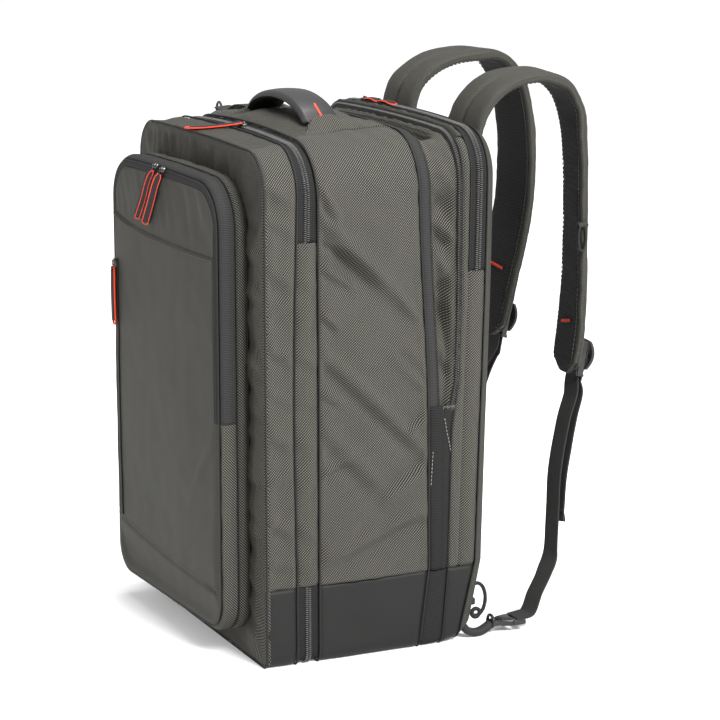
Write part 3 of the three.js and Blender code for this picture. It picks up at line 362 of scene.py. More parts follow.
class Finish:
    """A material being put together. Values that don't vary are set on its shader."""

    def __init__(self, name, roughness, **constants):
        self.material = bpy.data.materials.new(name)
        self.material.use_nodes = True
        self.shader = self.material.node_tree.nodes["Principled BSDF"]
        self.shader.inputs["Roughness"].default_value = roughness
        self.shader.inputs["Specular IOR Level"].default_value = 0.2
        for socket, value in constants.items():
            self.shader.inputs[socket.replace("_", " ")].default_value = value

    def feed(self, socket, value):
        if isinstance(value, Wire):
            self.material.node_tree.links.new(value.socket, socket)
        else:
            socket.default_value = value

    def node(self, kind, settings, *values, output=0, **named):
        made = self.material.node_tree.nodes.new(kind)
        for key, value in settings.items():
            setattr(made, key, value)
        for i, value in enumerate(values):
            self.feed(made.inputs[i], value)
        for key, value in named.items():
            self.feed(made.inputs[key], value)
        return Wire(self, made.outputs[output])

    def uv(self):
        """Both directions along the cloth, in metres."""
        place = self.node("ShaderNodeTexCoord", {}, output=2)
        return [self.node("ShaderNodeSeparateXYZ", {}, place, output=i) for i in (0, 1)]

    def place(self):
        return self.node("ShaderNodeTexCoord", {}, output=3)

    def grain(self, size, detail=2.0):
        """Noise on the object's own coordinates, from 0 to 1."""
        return self.node("ShaderNodeTexNoise", {}, Vector=self.place(), Scale=1 / size, Detail=detail)

    def blend(self, share, first, second):
        mixed = self.node("ShaderNodeMix", {"data_type": "RGBA"}, share, output=2)
        made = mixed.socket.node
        for socket, value in ((made.inputs[6], first), (made.inputs[7], second)):
            self.feed(socket, value if isinstance(value, Wire) else (*value, 1))
        return mixed

    def done(self, colour, height=None, depth=0.001, strength=1.0, roughness=None):
        self.feed(self.shader.inputs["Base Color"], colour)
        if roughness is not None:
            self.feed(self.shader.inputs["Roughness"], roughness)
        if height is not None:
            bump = self.node("ShaderNodeBump", {}, Strength=strength, Distance=depth, Height=height)
            self.feed(self.shader.inputs["Normal"], bump)
        return self.material


def woven(name, pitch, light, dark, roughness, relief=0.0004, cloud=0.12, slant=0.7):
    """Weave with painted highlight on the thread tops and painted shade in the gaps between threads. Threads
    cross on both diagonals, and slant is how far one of them leads.
    """
    finish = Finish(name, roughness)
    u, v = finish.uv()
    a, b = u * (0.5 / pitch), v * (0.5 / pitch)
    lead, other = (a - b).wave(), (a + b).wave()
    thread = lead * (slant + (1 - slant) * other)
    patch = finish.grain(0.05, 3) * (2 * cloud) + (1 - cloud)
    # The colour follows each thread's height: painted highlight on its top, painted shade in the gaps between
    # threads.
    pale = thread * thread
    weave_light_and_shade = finish.blend(pale * pale, dark, light)
    shade = finish.blend(1 - patch, weave_light_and_shade, tuple(0.4 * c for c in dark))
    return finish.done(shade, thread, relief, 0.9)


# Both cloths carry painted highlight on their thread tops and painted shade between threads, over the real
# weave.
twill = woven("twill_cloth", 0.00132, (0.184, 0.1780, 0.1510), (0.0010, 0.0010, 0.0009), 0.82, 0.0007,
              slant=0.62)
smooth = woven("smooth_cloth", 0.0009, (0.080, 0.0772, 0.0630), (0.009, 0.0087, 0.0072), 0.62, 0.00020, 0.14)


def coated_cloth():
    finish = Finish("coated_cloth", 0.55)
    fine, broad = finish.grain(0.0007, 3), finish.grain(0.06, 2)
    colour = finish.blend(broad, (0.0060, 0.0060, 0.0058), (0.0092, 0.0092, 0.0089))
    return finish.done(colour, fine, 0.00025, 0.6, 0.5 + 0.14 * fine)


coated = coated_cloth()


def piping_cloth():
    finish = Finish("piping_cloth", 0.6)
    u, v = finish.uv()
    rib = (u * 900).wave()
    return finish.done(finish.blend(rib, (0.006, 0.006, 0.006), (0.013, 0.013, 0.0125)), rib, 0.0002, 0.6)


piping_dark = piping_cloth()


def seam_line(first, last, t, ends, lift=0.0, step=0.003):
    """Points along a line round the bag, with the directions away from it."""
    sec = between(first, last, t)
    count = max(2, math.ceil(spread(sec, ends(sec), 10)[3][-1] / step))
    s, x, z, _ = spread(sec, ends(sec), count)
    nx, nz = outward(sec, s)
    out = np.stack((nx, 0 * nx, nz), axis=1)
    return np.stack((x, np.interp(z, LEAN_AT, sec["lean"]), z), axis=1) + lift * out, out


def rod(name, path, radius, finish, closed=False):
    """A round cord through points: rings of eight points, closed at both ends."""
    path, sides = np.asarray(path, dtype=float), 8
    ahead = np.roll(path, -1, 0) - np.roll(path, 1, 0) if closed else np.gradient(path, axis=0)
    ahead /= np.linalg.norm(ahead, axis=1, keepdims=True)
    guide = np.array([0.31, 0.2, 0.93])
    one = guide - ahead * np.sum(ahead * guide, axis=1, keepdims=True)
    one /= np.linalg.norm(one, axis=1, keepdims=True)
    two = np.cross(ahead, one)
    angles = np.linspace(0, 2 * math.pi, sides, endpoint=False)
    size = np.broadcast_to(np.asarray(radius, dtype=float).reshape(-1, 1, 1), (len(path), 1, 1))
    circle = np.cos(angles)[:, None] * one[:, None] + np.sin(angles)[:, None] * two[:, None]
    rings = path[:, None] + size * circle
    n, vertices = len(path), rings.reshape(-1, 3)
    faces = []
    for i in range(n if closed else n - 1):
        a, b = i * sides, (i + 1) % n * sides
        faces += [(a + j, b + j, b + (j + 1) % sides, a + (j + 1) % sides) for j in range(sides)]
    mesh = bpy.data.meshes.new(name)
    caps = [] if closed else [tuple(range(sides)), tuple((n - 1) * sides + j for j in reversed(range(sides)))]
    mesh.from_pydata(vertices.tolist(), [], faces + caps)
    layer = mesh.uv_layers.new(name="weave")
    run = np.concatenate(([0], np.linalg.norm(np.diff(path, axis=0), axis=1).cumsum()))
    corner = np.empty(len(mesh.loops), dtype=int)
    mesh.loops.foreach_get("vertex_index", corner)
    uv = np.stack((run[corner // sides], corner % sides / sides * 0.006), axis=1)
    layer.data.foreach_set("uv", uv.ravel())
    mesh.materials.append(finish)
    mesh.polygons.foreach_set("use_smooth", [True] * len(mesh.polygons))
    piece = bpy.data.objects.new(name, mesh)
    bpy.context.collection.objects.link(piece)
    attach(piece, "root")
    return piece


def whole_loop(sec):
    return (0.0, 2.0)


def creases(rows, depth):
    """Wrinkles along straight lines. Each has a ridge and, on its lower side, a furrow."""
    def rise(t, grid):
        total = 0 * t
        for t0, z0, t1, z1, wide, height in rows:
            length = math.hypot((t1 - t0) * depth, z1 - z0)
            dy, dz = (t1 - t0) * depth / length, (z1 - z0) / length
            y, z = (t - t0) * depth, grid[..., 2] - z0
            along, off = (y * dy + z * dz) / length, y * dz - z * dy
            fade = ease((along + 0.12) / 0.3) * ease((1.12 - along) / 0.3)
            ridge, furrow = np.exp(-(off / wide) ** 2), np.exp(-(off / wide - 1.5) ** 2)
            total = total + height * fade * (ridge - 0.8 * furrow)
        return total
    return rise


def front_face():
    """The rounded edge and the face, gathered a little under its top seam."""
    sec = SEAMS["face"]
    s, x, z, _ = spread(sec, (0.0, 2.0), 420)
    s, x, z = s[:-1], x[:-1], z[:-1]
    nx, nz = outward(sec, s)
    rows, outs = [], []
    for angle in (0, 22, 45, 68, 90):
        turn = math.radians(angle)
        inset = FRONT_ROUND * (1 - math.cos(turn))
        y = FRONT_Y + FRONT_ROUND * (1 - math.sin(turn)) + 0 * x
        rows.append(np.stack((x - nx * inset, y, z - nz * inset), axis=1))
        outs.append(np.stack((nx * math.cos(turn), -math.sin(turn) + 0 * nx, nz * math.cos(turn)), axis=1))
    flat, middle = rows[-1], np.array((0, FRONT_Y, sec["top"] / 2))
    reach = np.abs(flat - middle).max(axis=0)
    for inset in (0.002, 0.004, 0.007, 0.010, 0.014, 0.018, 0.023, 0.028, 0.034, 0.041):
        edge = middle + (flat - middle) * (1 - inset / np.array((reach[0], 1, reach[2])))
        top = ease((z - 0.44) / 0.04)
        gather = ripple(np.stack((edge[:, 0], 0 * x, 0.3 * edge[:, 2]), axis=1), 0.011, 2.0)
        pulled = ripple(np.stack((0.35 * edge[:, 0], 0 * x, edge[:, 2]), axis=1), 0.013, 8.0)
        edge[:, 1] = FRONT_Y - (0.0036 * gather * top + 0.0036 * pulled * (1 - top)) * ease(inset / 0.009)
        rows.append(edge)
        outs.append(np.tile((0.0, -1.0, 0.0), (len(x), 1)))
    for share in (0.4, 0.8, 1):
        rows.append(rows[14] * (1 - share) + middle * share)
        outs.append(outs[-1])
    return cloth_mesh("front_face", np.array(rows), np.array(outs), smooth, ring=True, pole=True)


def edge_strip(z):
    """Twill wraps round the front's sides as far as this; higher up its seam curves out to the edge."""
    return 0.131 + 0.034 * ease((z - 0.385) / 0.07)


FRONT_CREASES = (
    (0.05, 0.462, 0.95, 0.440, 0.006, 0.0032), (0.05, 0.432, 0.95, 0.412, 0.005, 0.0025),
    (0.05, 0.385, 0.95, 0.366, 0.007, 0.0033), (0.05, 0.340, 0.95, 0.352, 0.006, 0.0026),
    (0.05, 0.312, 0.95, 0.296, 0.006, 0.0033), (0.05, 0.268, 0.95, 0.256, 0.005, 0.0024),
    (0.05, 0.231, 0.95, 0.214, 0.007, 0.0033), (0.05, 0.180, 0.95, 0.192, 0.006, 0.0026),
    (0.05, 0.146, 0.95, 0.130, 0.006, 0.0030), (0.05, 0.103, 0.95, 0.100, 0.005, 0.0022),
)
FRONT_TOP_START, FRONT_SIDE_DEPTH = 0.86, 0.027
pieces = [
    front_face(),
    panel("front_gusset_top", "face", "zipA", over(FRONT_TOP_START), smooth, rows=18, step=0.003,
          slack=0.0020, pucker=0.0010, roll_ends=False, seed=4),
    panel("front_gusset_base", "face", "zipA", trough(BASE_TOP), coated, rows=10, seed=2),
]
for side, sign in (("right", 1), ("left", -1)):
    pieces.append(panel(f"front_gusset_{side}", "face", "zipA", on_side(sign, BASE_TOP, -FRONT_TOP_START),
                        twill, rows=18, step=0.003, slack=0.0020, pucker=0.0010,
                        crease=creases(FRONT_CREASES, FRONT_SIDE_DEPTH), roll_ends=False, seed=4))
front_edge, _ = seam_line("face", "zipA", 0, whole_loop)
front_edge[:, 1] += 0.0006
pieces.append(rod("front_piping", front_edge[:-1], 0.0008, piping_dark, closed=True))
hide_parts("front_section")
pieces[0].data.materials.append(twill)
for facet in pieces[0].data.polygons:
    facet.material_index = int(abs(facet.center.x) > edge_strip(facet.center.z))
for piece in pieces:
    ("coated_fabric" if "base" in piece.name else "twill_fabric" if "gusset_" in piece.name
            and "top" not in piece.name else "smooth_fabric")

# Front zip: runs over the top between two pipings and ends in a sewn patch on each side; below the
# patches a second, short zip runs under the bag. Polyester tape with a nylon coil: small loops from
# both edges hook into each other along the middle.
ZIP_RECESS, FRONT_ZIP_END, REAR_ZIP_END, MEET = 0.0022, 0.405, 0.367, 0.232


def tape_cloth(name, light, dark):
    finish = Finish(name, 0.85, Specular_IOR_Level=0.1)
    u, v = finish.uv()
    rib, cross = (v * 420).wave(), (u * 620).wave()
    height = cross * (0.65 + 0.35 * rib)
    return finish.done(finish.blend(height, dark, light), height, 0.00025, 0.8)


tape = tape_cloth("tape_cloth", (0.036, 0.036, 0.0355), (0.006, 0.006, 0.006))
dark_tape = tape_cloth("dark_tape_cloth", (0.020, 0.020, 0.0196), (0.0035, 0.0035, 0.0035))


def coil_nylon():
    finish = Finish("coil_nylon", 0.35, Coat_Weight=0.3)
    # The random lighter specks on the black coil are painted glints, not a colour of the nylon.
    speck = finish.grain(0.002, 2)
    return finish.done(finish.blend(speck, (0.030, 0.030, 0.0295), (0.150, 0.150, 0.146)), speck, 0.0001, 0.3)


coil = coil_nylon()


def zip_coil(name, path, out, pitch=0.0010, reach=0.0028, rise=0.0012, finish=coil):
    """Loops of a coil along a path, from one side and the other in turn."""
    run = np.concatenate(([0], np.linalg.norm(np.diff(path, axis=0), axis=1).cumsum()))
    places = np.arange(pitch, run[-1] - pitch, pitch)
    centre = np.stack([np.interp(places, run, path[:, k]) for k in range(3)], axis=1)
    up = np.stack([np.interp(places, run, out[:, k]) for k in range(3)], axis=1)
    ahead = np.gradient(centre, axis=0)
    ahead /= np.linalg.norm(ahead, axis=1, keepdims=True)
    up /= np.linalg.norm(up, axis=1, keepdims=True)
    cross = np.cross(ahead, up) * np.where(np.arange(len(places)) % 2, -1, 1)[:, None]
    loop = ((-1, -0.3), (-1, 0.5), (-0.8, 1), (-0.35, 1), (-0.08, 0.5), (-0.08, -0.3))
    corners = [(c * reach, n * rise, d * pitch * 0.25) for d in (-1, 1) for c, n in loop]
    vertices = np.concatenate([centre[:, None] + cross[:, None] * c + up[:, None] * n + ahead[:, None] * d
                               for c, n, d in corners], axis=1).reshape(-1, 3)
    faces = []
    for i in range(len(places)):
        a = 12 * i
        faces += [(a + j, a + (j + 1) % 6, a + 6 + (j + 1) % 6, a + 6 + j) for j in range(6)]
        faces += [tuple(a + j for j in reversed(range(6))), tuple(a + 6 + j for j in range(6))]
    mesh = bpy.data.meshes.new(name)
    mesh.from_pydata(vertices.tolist(), [], faces)
    mesh.materials.append(finish)
    piece = bpy.data.objects.new(name, mesh)
    bpy.context.collection.objects.link(piece)
    bpy.ops.object.select_all(action="DESELECT")
    piece.select_set(True)
    bpy.context.view_layer.objects.active = piece
    bpy.ops.object.mode_set(mode="EDIT")
    bpy.ops.mesh.select_all(action="SELECT")
    bpy.ops.mesh.normals_make_consistent(inside=False)
    bpy.ops.object.mode_set(mode="OBJECT")
    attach(piece, "root")
    return piece


def piping(name, t_of, ends=whole_loop, radius=0.0010):
    """A thin dark cord in a seam, at a share of the way between two others."""
    path, _ = seam_line(*t_of, ends, 0.0001)
    closed = ends is whole_loop
    piece = rod(name, path[:-1] if closed else path, radius, piping_dark, closed=closed)
    return piece


ZIP_LIFT = ((0, -ZIP_RECESS), (0.4, -ZIP_RECESS), (0.5, -ZIP_RECESS + 0.0004), (0.6, -ZIP_RECESS),
            (1, -ZIP_RECESS))
for name, ends in (("front_zip", arch(FRONT_ZIP_END)), ("front_zip_base", trough(BASE_TOP))):
    band = panel(name + "_tape", "zipA", "zipB", ends, dark_tape, rows=12, lift=ZIP_LIFT, roll=0,
                 pucker=0.0002)
    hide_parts(name)
    zip_coil(name + "_coil", *seam_line("zipA", "zipB", 0.5, ends, -ZIP_RECESS + 0.0006))
for side, sign in (("right", 1), ("left", -1)):
    patch = panel(f"front_patch_{side}", "zipA", "zipB", on_side(sign, BASE_TOP, FRONT_ZIP_END), twill,
                  rows=14, step=0.003,
                  lift=((0, -0.0012), (0.5, 0.0006), (1, -0.0012)), pucker=0.0009, slack=0.0014, seed=11,
                  crease=creases([(a, z0 - 0.012, b, z1 - 0.006, wide, 0.8 * height)
                                  for a, z0, b, z1, wide, height in FRONT_CREASES], 0.017))
    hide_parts(f"front_zip_patch_{side}")
piping("piping_a", ("face", "zipA", 1))
piping("piping_b", ("zipA", "zipB", 1))

# Main section: the deep body of the bag. Its sides are twill with painted highlight on the thread tops and
# painted shade between them, slack between their seams, so they wrinkle on the slant; the top under the
# handle is smooth cloth; a coated panel wraps the base.
MAIN_DEPTH = 0.112


MAIN_CREASES = (
    (0.03, 0.428, 0.62, 0.362, 0.0075, 0.0068), (0.02, 0.382, 0.35, 0.360, 0.005, 0.0044),
    (0.03, 0.302, 0.97, 0.196, 0.0075, 0.0057), (0.03, 0.230, 0.60, 0.160, 0.008, 0.0039),
    (0.03, 0.100, 0.99, 0.138, 0.008, 0.0047), (0.98, 0.256, 0.66, 0.292, 0.005, 0.0042),
    (0.98, 0.178, 0.55, 0.150, 0.006, 0.0044), (0.25, 0.402, 0.95, 0.330, 0.010, 0.0042),
    (0.02, 0.455, 0.20, 0.425, 0.005, 0.0047), (0.98, 0.318, 0.72, 0.352, 0.005, 0.0034),
    (0.02, 0.338, 0.20, 0.322, 0.004, 0.0034), (0.02, 0.182, 0.26, 0.196, 0.004, 0.0036),
    (0.02, 0.410, 0.30, 0.392, 0.004, 0.0034), (0.98, 0.225, 0.80, 0.215, 0.004, 0.0029),
    (0.98, 0.120, 0.70, 0.112, 0.005, 0.0029), (0.02, 0.262, 0.22, 0.250, 0.004, 0.0031),
)
TOP_START = 0.868
main_wrinkles = creases(MAIN_CREASES, MAIN_DEPTH)
for side, sign in (("right", 1), ("left", -1)):
    cloth = panel(f"main_{side}", "zipB", "tapeA", on_side(sign, BASE_TOP, -TOP_START), twill, rows=44,
                  step=0.003, crease=main_wrinkles, slack=0.0018, pucker=0.0015, roll_ends=False, seed=21)
    if sign > 0:
        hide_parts("main_section")
HANDLE_Y = -0.012


def seam_x(y):
    """How far out the twill begins on the top: it runs in to each foot of the handle and on behind."""
    return 0.064 + 0.046 * ease((HANDLE_Y - 0.004 - y) / 0.038) - 0.064 * ease((y - 0.004) / 0.020)


def top_rise(t, grid):
    """The cloth swells under the handle, and the twill rises over its feet."""
    x, y = np.abs(grid[..., 0]), grid[..., 1]
    past = x - seam_x(y)
    inner = ease((0.098 - x) / 0.014)
    foot = np.exp(-((x - 0.066) / 0.018) ** 2 - ((y - HANDLE_Y) / 0.024) ** 2)
    swell = 0.0074 * np.exp(-(x / 0.055) ** 4 - ((y - HANDLE_Y) / 0.030) ** 2)
    step = 0.0012 * ease(past / 0.002) - 0.0010 * np.exp(-(past / 0.0018) ** 2)
    return inner * (0.0088 * ease((past + 0.001) / 0.003) * foot + step) + swell


main_top = panel("main_top", "zipB", "tapeA", over(TOP_START), smooth, rows=64, step=0.0022, seed=21,
                 pucker=0.0015, crease=top_rise, slack=0.0018, roll_ends=False)
main_top.data.materials.append(twill)
for face in main_top.data.polygons:
    x, y, _ = face.center
    face.material_index = int(abs(x) > seam_x(y))
main_base = panel("main_base", "zipB", "tapeA", trough(BASE_TOP), coated, rows=30, step=0.004, seed=25)
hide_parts("base_panel")

# Expansion: a band of smooth dark tape, then a slack gusset that folds inwards, and a thin zip. Both
# tapes meet low on the sides, where one stitched flap goes on under the bag.
for name, first, last, finish, lift, rows in (
    ("expansion_tape", "tapeA", "tapeB", tape, ((0, -0.0006), (0.5, 0.0004), (1, -0.0006)), 10),
    ("expansion_zip", "tapeC", "tapeD", piping_dark, ((0, -0.0022), (0.3, -0.0016), (1, -0.0022)), 8),
):
    band = panel(name + "_band", first, last, arch(MEET), finish, rows=rows, lift=lift, roll=0.0008,
                 pucker=0.0004, seed=31)
    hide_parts(name)
coil_path = seam_line("tapeC", "tapeD", 0.5, arch(MEET), -0.0008)
zip_coil("expansion_coil", *coil_path, pitch=0.0011, reach=0.0018)
GUSSET_DEPTH = 0.024
GUSSET_CREASES = (
    (0.05, 0.440, 0.95, 0.452, 0.010, 0.0040), (0.05, 0.418, 0.95, 0.396, 0.006, 0.0052),
    (0.10, 0.392, 0.95, 0.352, 0.007, 0.0056), (0.05, 0.350, 0.60, 0.372, 0.005, 0.0036),
    (0.05, 0.300, 0.95, 0.272, 0.006, 0.0044), (0.80, 0.340, 0.98, 0.262, 0.004, 0.0036),
)


def gusset_rise(t, grid):
    """Slanting creases on the sides, a swell above a hollow, and a deep tuck over the top."""
    z = grid[..., 2]
    inner = ease((0.120 - np.abs(grid[..., 0])) / 0.03) * ease((z - 0.4) / 0.05)
    tuck = inner * np.sin(np.clip((t - 0.04) / 0.92, 0, 1) * math.pi)
    hollow = np.exp(-((t - 0.42) / 0.22) ** 2 - ((z - 0.332) / 0.022) ** 2)
    swell = np.exp(-((t - 0.55) / 0.30) ** 2 - ((z - 0.462) / 0.016) ** 2)
    flat_end = ease((z - MEET) / 0.03)
    crumple = creases(GUSSET_CREASES, GUSSET_DEPTH)(t, grid) - 0.0085 * hollow + 0.0045 * swell
    return flat_end * crumple - 0.022 * tuck


gusset = panel("expansion_gusset_cloth", "tapeB", "tapeC", arch(MEET), twill, rows=24, step=0.003,
               lift=((0, -0.0015), (0.3, -0.0065), (0.66, -0.0065), (1, -0.0015)), crease=gusset_rise,
               slack=0.0014, pucker=0.0012, seed=33)
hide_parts("expansion_gusset")
FLAP_TOP = MEET + 0.007
FLAP_LIFT = ((0, -0.0002), (0.25, 0.0012), (0.54, 0.0014), (0.60, -0.0010), (0.66, 0.0008), (1, -0.0004))
for side, sign in (("right", 1), ("left", -1)):
    flap = panel(f"expansion_flap_cloth_{side}", "tapeA", "tapeD", on_side(sign, BASE_TOP, FLAP_TOP),
                 dark_tape, rows=20, lift=FLAP_LIFT, pucker=0.0009, seed=35, roll_ends=False)
    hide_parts(f"expansion_flap_{side}")
flap_base = panel("expansion_flap_under", "tapeA", "tapeD", trough(BASE_TOP), dark_tape, rows=14,
                  lift=((0, -0.0006), (0.5, 0), (1, -0.0006)), pucker=0.0004, seed=36)
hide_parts("expansion_flap_base")
piping("piping_c", ("zipB", "tapeA", 1), radius=0.0009)
piping("piping_d", ("tapeA", "tapeB", 1), arch(MEET), radius=0.0004)
piping("piping_e", ("tapeC", "tapeD", 1), radius=0.0005)


def stitches(name, path, finish, length=0.0026, gap=0.0012, radius=0.0003):
    """A row of stitches lying on the cloth along a path."""
    path = np.asarray(path)
    run = np.concatenate(([0], np.linalg.norm(np.diff(path, axis=0), axis=1).cumsum()))
    starts = np.arange(0, run[-1] - length, length + gap)
    at = lambda d: np.stack([np.interp(d, run, path[:, k]) for k in range(3)], axis=1)
    head, tail = at(starts), at(starts + length)
    ahead = (tail - head) / np.linalg.norm(tail - head, axis=1, keepdims=True)
    one = np.cross(ahead, (0.12, 0.31, 0.94))
    one /= np.linalg.norm(one, axis=1, keepdims=True)
    two = np.cross(ahead, one)
    vertices, sides = [], 5
    for where, size in ((0, 0.3), (0.2, 1), (0.8, 1), (1, 0.3)):
        middle = head + (tail - head) * where
        for j in range(sides):
            angle = 2 * math.pi * j / sides
            vertices.append(middle + radius * size * (math.cos(angle) * one + math.sin(angle) * two))
    vertices = np.stack(vertices, axis=1).reshape(-1, 3)
    faces = []
    for i in range(len(starts)):
        a = 4 * sides * i
        for ring in range(3):
            b, c = a + ring * sides, a + (ring + 1) * sides
            faces += [(b + j, b + (j + 1) % sides, c + (j + 1) % sides, c + j) for j in range(sides)]
        faces.append(tuple(a + j for j in reversed(range(sides))))
        faces.append(tuple(a + 3 * sides + j for j in range(sides)))
    mesh = bpy.data.meshes.new(name)
    mesh.from_pydata(vertices.tolist(), [], faces)
    mesh.materials.append(finish)
    piece = bpy.data.objects.new(name, mesh)
    bpy.context.collection.objects.link(piece)
    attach(piece, "root")
    return piece


def thread(name, colour):
    finish = Finish(name, 0.6, Sheen_Weight=0.2)
    twist = finish.grain(0.0008, 2)
    return finish.done(finish.blend(twist, tuple(0.6 * c for c in colour), colour), twist, 0.0001, 0.5)


thread_pale = thread("thread_pale", (0.30, 0.29, 0.25))
thread_dark = thread("thread_dark", (0.03, 0.03, 0.03))
thread_dull = thread("thread_dull", (0.17, 0.162, 0.135))
for side, sign in (("right", 1), ("left", -1)):
    for row, low, high, top_t, low_t in (("a", 0.070, 0.036, 0.16, 0.07), ("b", 0.038, 0.002, 0.60, 0.93)):
        ends = on_side(sign, MEET - low, MEET - high)
        one, two = (seam_line("tapeA", "tapeD", t, ends, 0.0014)[0] for t in (low_t, top_t))
        share = np.linspace(0, 1, len(one))[:, None]
        share = share if one[0, 2] < one[-1, 2] else share[::-1]
        slanting = one * (1 - share) + two[:len(one)] * share
        row_piece = stitches(f"flap_stitches_{row}_{side}", slanting, thread_pale)
    # ragged bar of thread at the flap's top
    tooth = []
    for k in range(19):
        low = 0.0030 + 0.0008 * math.sin(2.3 * k)
        ends = on_side(sign, FLAP_TOP - low, FLAP_TOP - 0.0006)
        line, _ = seam_line("tapeA", "tapeD", 0.44 + 0.52 * k / 18, ends, 0.0014)
        tooth.append(line[0] if k % 2 else line[-1])
    rod(f"flap_bar_{side}", np.array(tooth), 0.00028, thread_dull)

# Rear section: a narrow strip of twill, smooth and gathered over the top, in front of the rear zip.
# The zip is two-way and ends in patches; the lowest part is coated cloth.
REAR_TOP_START = 0.80
for side, sign in (("right", 1), ("left", -1)):
    strip = panel(f"rear_strip_{side}", "tapeD", "zipC", on_side(sign, BASE_TOP, -REAR_TOP_START), twill,
                  rows=12, step=0.003, pucker=0.0008, slack=0.0007, seed=41)
    if sign > 0:
        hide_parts("rear_section")
    patch = panel(f"rear_patch_{side}", "zipC", "zipD", on_side(sign, BASE_TOP, REAR_ZIP_END), twill, rows=14,
                  lift=((0, -0.0004), (0.5, 0.0008), (1, -0.0004)), pucker=0.0008, seed=43)
    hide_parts(f"rear_zip_patch_{side}")
rear_top = panel("rear_top", "tapeD", "zipC", over(REAR_TOP_START), smooth, rows=12, step=0.003,
                 lift=((0, -0.001), (0.35, 0.0022), (1, 0)), pucker=0.0022, seed=45)
rear_base = panel("rear_base", "tapeD", "zipD", trough(BASE_TOP), coated, rows=16, seed=46)
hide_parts("rear_base_panel")
rear_zip = panel("rear_zip_tape", "zipC", "zipD", arch(REAR_ZIP_END), dark_tape, rows=14,
                 lift=((0, -0.001), (0.4, -0.001), (0.5, -0.0006), (0.6, -0.001), (1, -0.001)),
                 roll=0.0004, seed=47)
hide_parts("rear_zip")
zip_coil("rear_zip_coil", *seam_line("zipC", "zipD", 0.5, arch(REAR_ZIP_END), 0.0004))
piping("piping_f", ("tapeD", "zipC", 1), arch(REAR_ZIP_END), radius=0.0005)
piping("piping_g", ("zipC", "zipD", 1), radius=0.0007)

# Back: a smooth edging turns round the edge onto the back, where a padded panel under spacer mesh
# fills it. The edging is one strip sewn all round, with a thin piping at both seams.
BACK_ROUND, BACK_SEAM, PANEL_PUFF, BACK_MIDDLE = 0.005, 0.009, 0.003, np.array((0, 0.255))


def ring_points(sec, count):
    s, x, z, _ = spread(sec, (0.0, 2.0), count)
    s, x, z = s[:-1], x[:-1], z[:-1]
    return s, x, z, *outward(sec, s)


def back_edging():
    rows, outs, count = [], [], 420
    for t in (0, 0.04, 0.12, 0.25, 0.4, 0.55, 0.7):
        sec = between("zipD", "back", t)
        s, x, z, nx, nz = ring_points(sec, count)
        lift = -0.0012 * math.exp(-(t / 0.08) ** 2)
        y = np.interp(z, LEAN_AT, sec["lean"]) - 0.004 * t ** 2
        points = np.stack((x + nx * lift, y, z + nz * lift), axis=1)
        rows.append(points)
        outs.append(np.stack((nx, 0 * nx, nz), axis=1))
    sec = SEAMS["back"]
    s, x, z, nx, nz = ring_points(sec, count)
    for angle, extra in ((40, 0), (58, 0), (75, 0), (90, 0), (90, 0.0015), (90, 0.003), (90, 0.0038)):
        turn = math.radians(angle)
        inset = BACK_ROUND * (1 - math.cos(turn)) + extra
        px, pz = x - nx * inset, z - nz * inset
        sink = 0.001 * (extra > 0.003)
        y = np.interp(pz, LEAN_AT, sec["lean"]) - BACK_ROUND * (1 - math.sin(turn)) - sink
        rows.append(np.stack((px, y, pz), axis=1))
        outs.append(np.stack((nx * math.cos(turn), math.sin(turn) + 0 * nx, nz * math.cos(turn)), axis=1))
    return cloth_mesh("back_edging_cloth", np.array(rows), np.array(outs), smooth, ring=True)


edging = back_edging()
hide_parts("back_edging")


def spacer_cloth(name, pitch=0.0032):
    """Knitted mesh: rows of round holes, each row half a hole on, over a darker ground."""
    finish = Finish(name, 0.9)
    u, v = finish.uv()
    cell = finish.node("ShaderNodeCombineXYZ", {}, u * (1 / pitch), v * (1 / pitch), 0.0)
    spot = finish.node("ShaderNodeTexVoronoi", {"voronoi_dimensions": "2D"}, Vector=cell, Scale=1.0,
                       Randomness=0.15)
    hole = finish.node("ShaderNodeMapRange", {}, spot, 0.16, 0.34, 0.0, 1.0)
    return finish.done(finish.blend(hole, (0.004, 0.004, 0.004), (0.020, 0.020, 0.0195)), hole, 0.0006, 1.0)


mesh_cloth = spacer_cloth("spacer_mesh_cloth")


def back_panel():
    sec, rows, outs, flat = SEAMS["back"], [], [], []
    s, x, z, nx, nz = ring_points(sec, 420)
    edge = np.stack((x - nx * BACK_SEAM, z - nz * BACK_SEAM), axis=1)
    for share in (0, 0.01, 0.03, 0.06, 0.1, *np.linspace(0.15, 1, 30)):
        at = edge * (1 - share) + BACK_MIDDLE * share
        puff = (PANEL_PUFF + 0.0008) * ease(share / 0.09) - 0.001 * (share == 0)
        y = np.interp(at[:, 1], LEAN_AT, sec["lean"]) + puff
        rows.append(np.stack((at[:, 0], y, at[:, 1]), axis=1))
        outs.append(np.tile((0.0, 1.0, 0.0), (len(x), 1)))
        flat.append(at)
    grid = np.array(rows)
    inward = np.array([0, 0.01, 0.03, 0.06, 0.1, *np.linspace(0.15, 1, 30)])
    grid[..., 1] += 0.0006 * ripple(grid, 0.05, 7) * ease(inward / 0.15)[:, None]
    return cloth_mesh("back_panel_pad", grid, np.array(outs), mesh_cloth, 0.002, ring=True, pole=True,
                      uv=np.array(flat))


pad = back_panel()
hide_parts("back_panel")
s, x, z, nx, nz = ring_points(SEAMS["back"], 420)
seam_y = np.interp(z, LEAN_AT, SEAMS["back"]["lean"]) + 0.0004
seam_ring = np.stack((x - nx * BACK_SEAM, seam_y, z - nz * BACK_SEAM), axis=1)
rod("back_piping", seam_ring, 0.0012, piping_dark, closed=True)

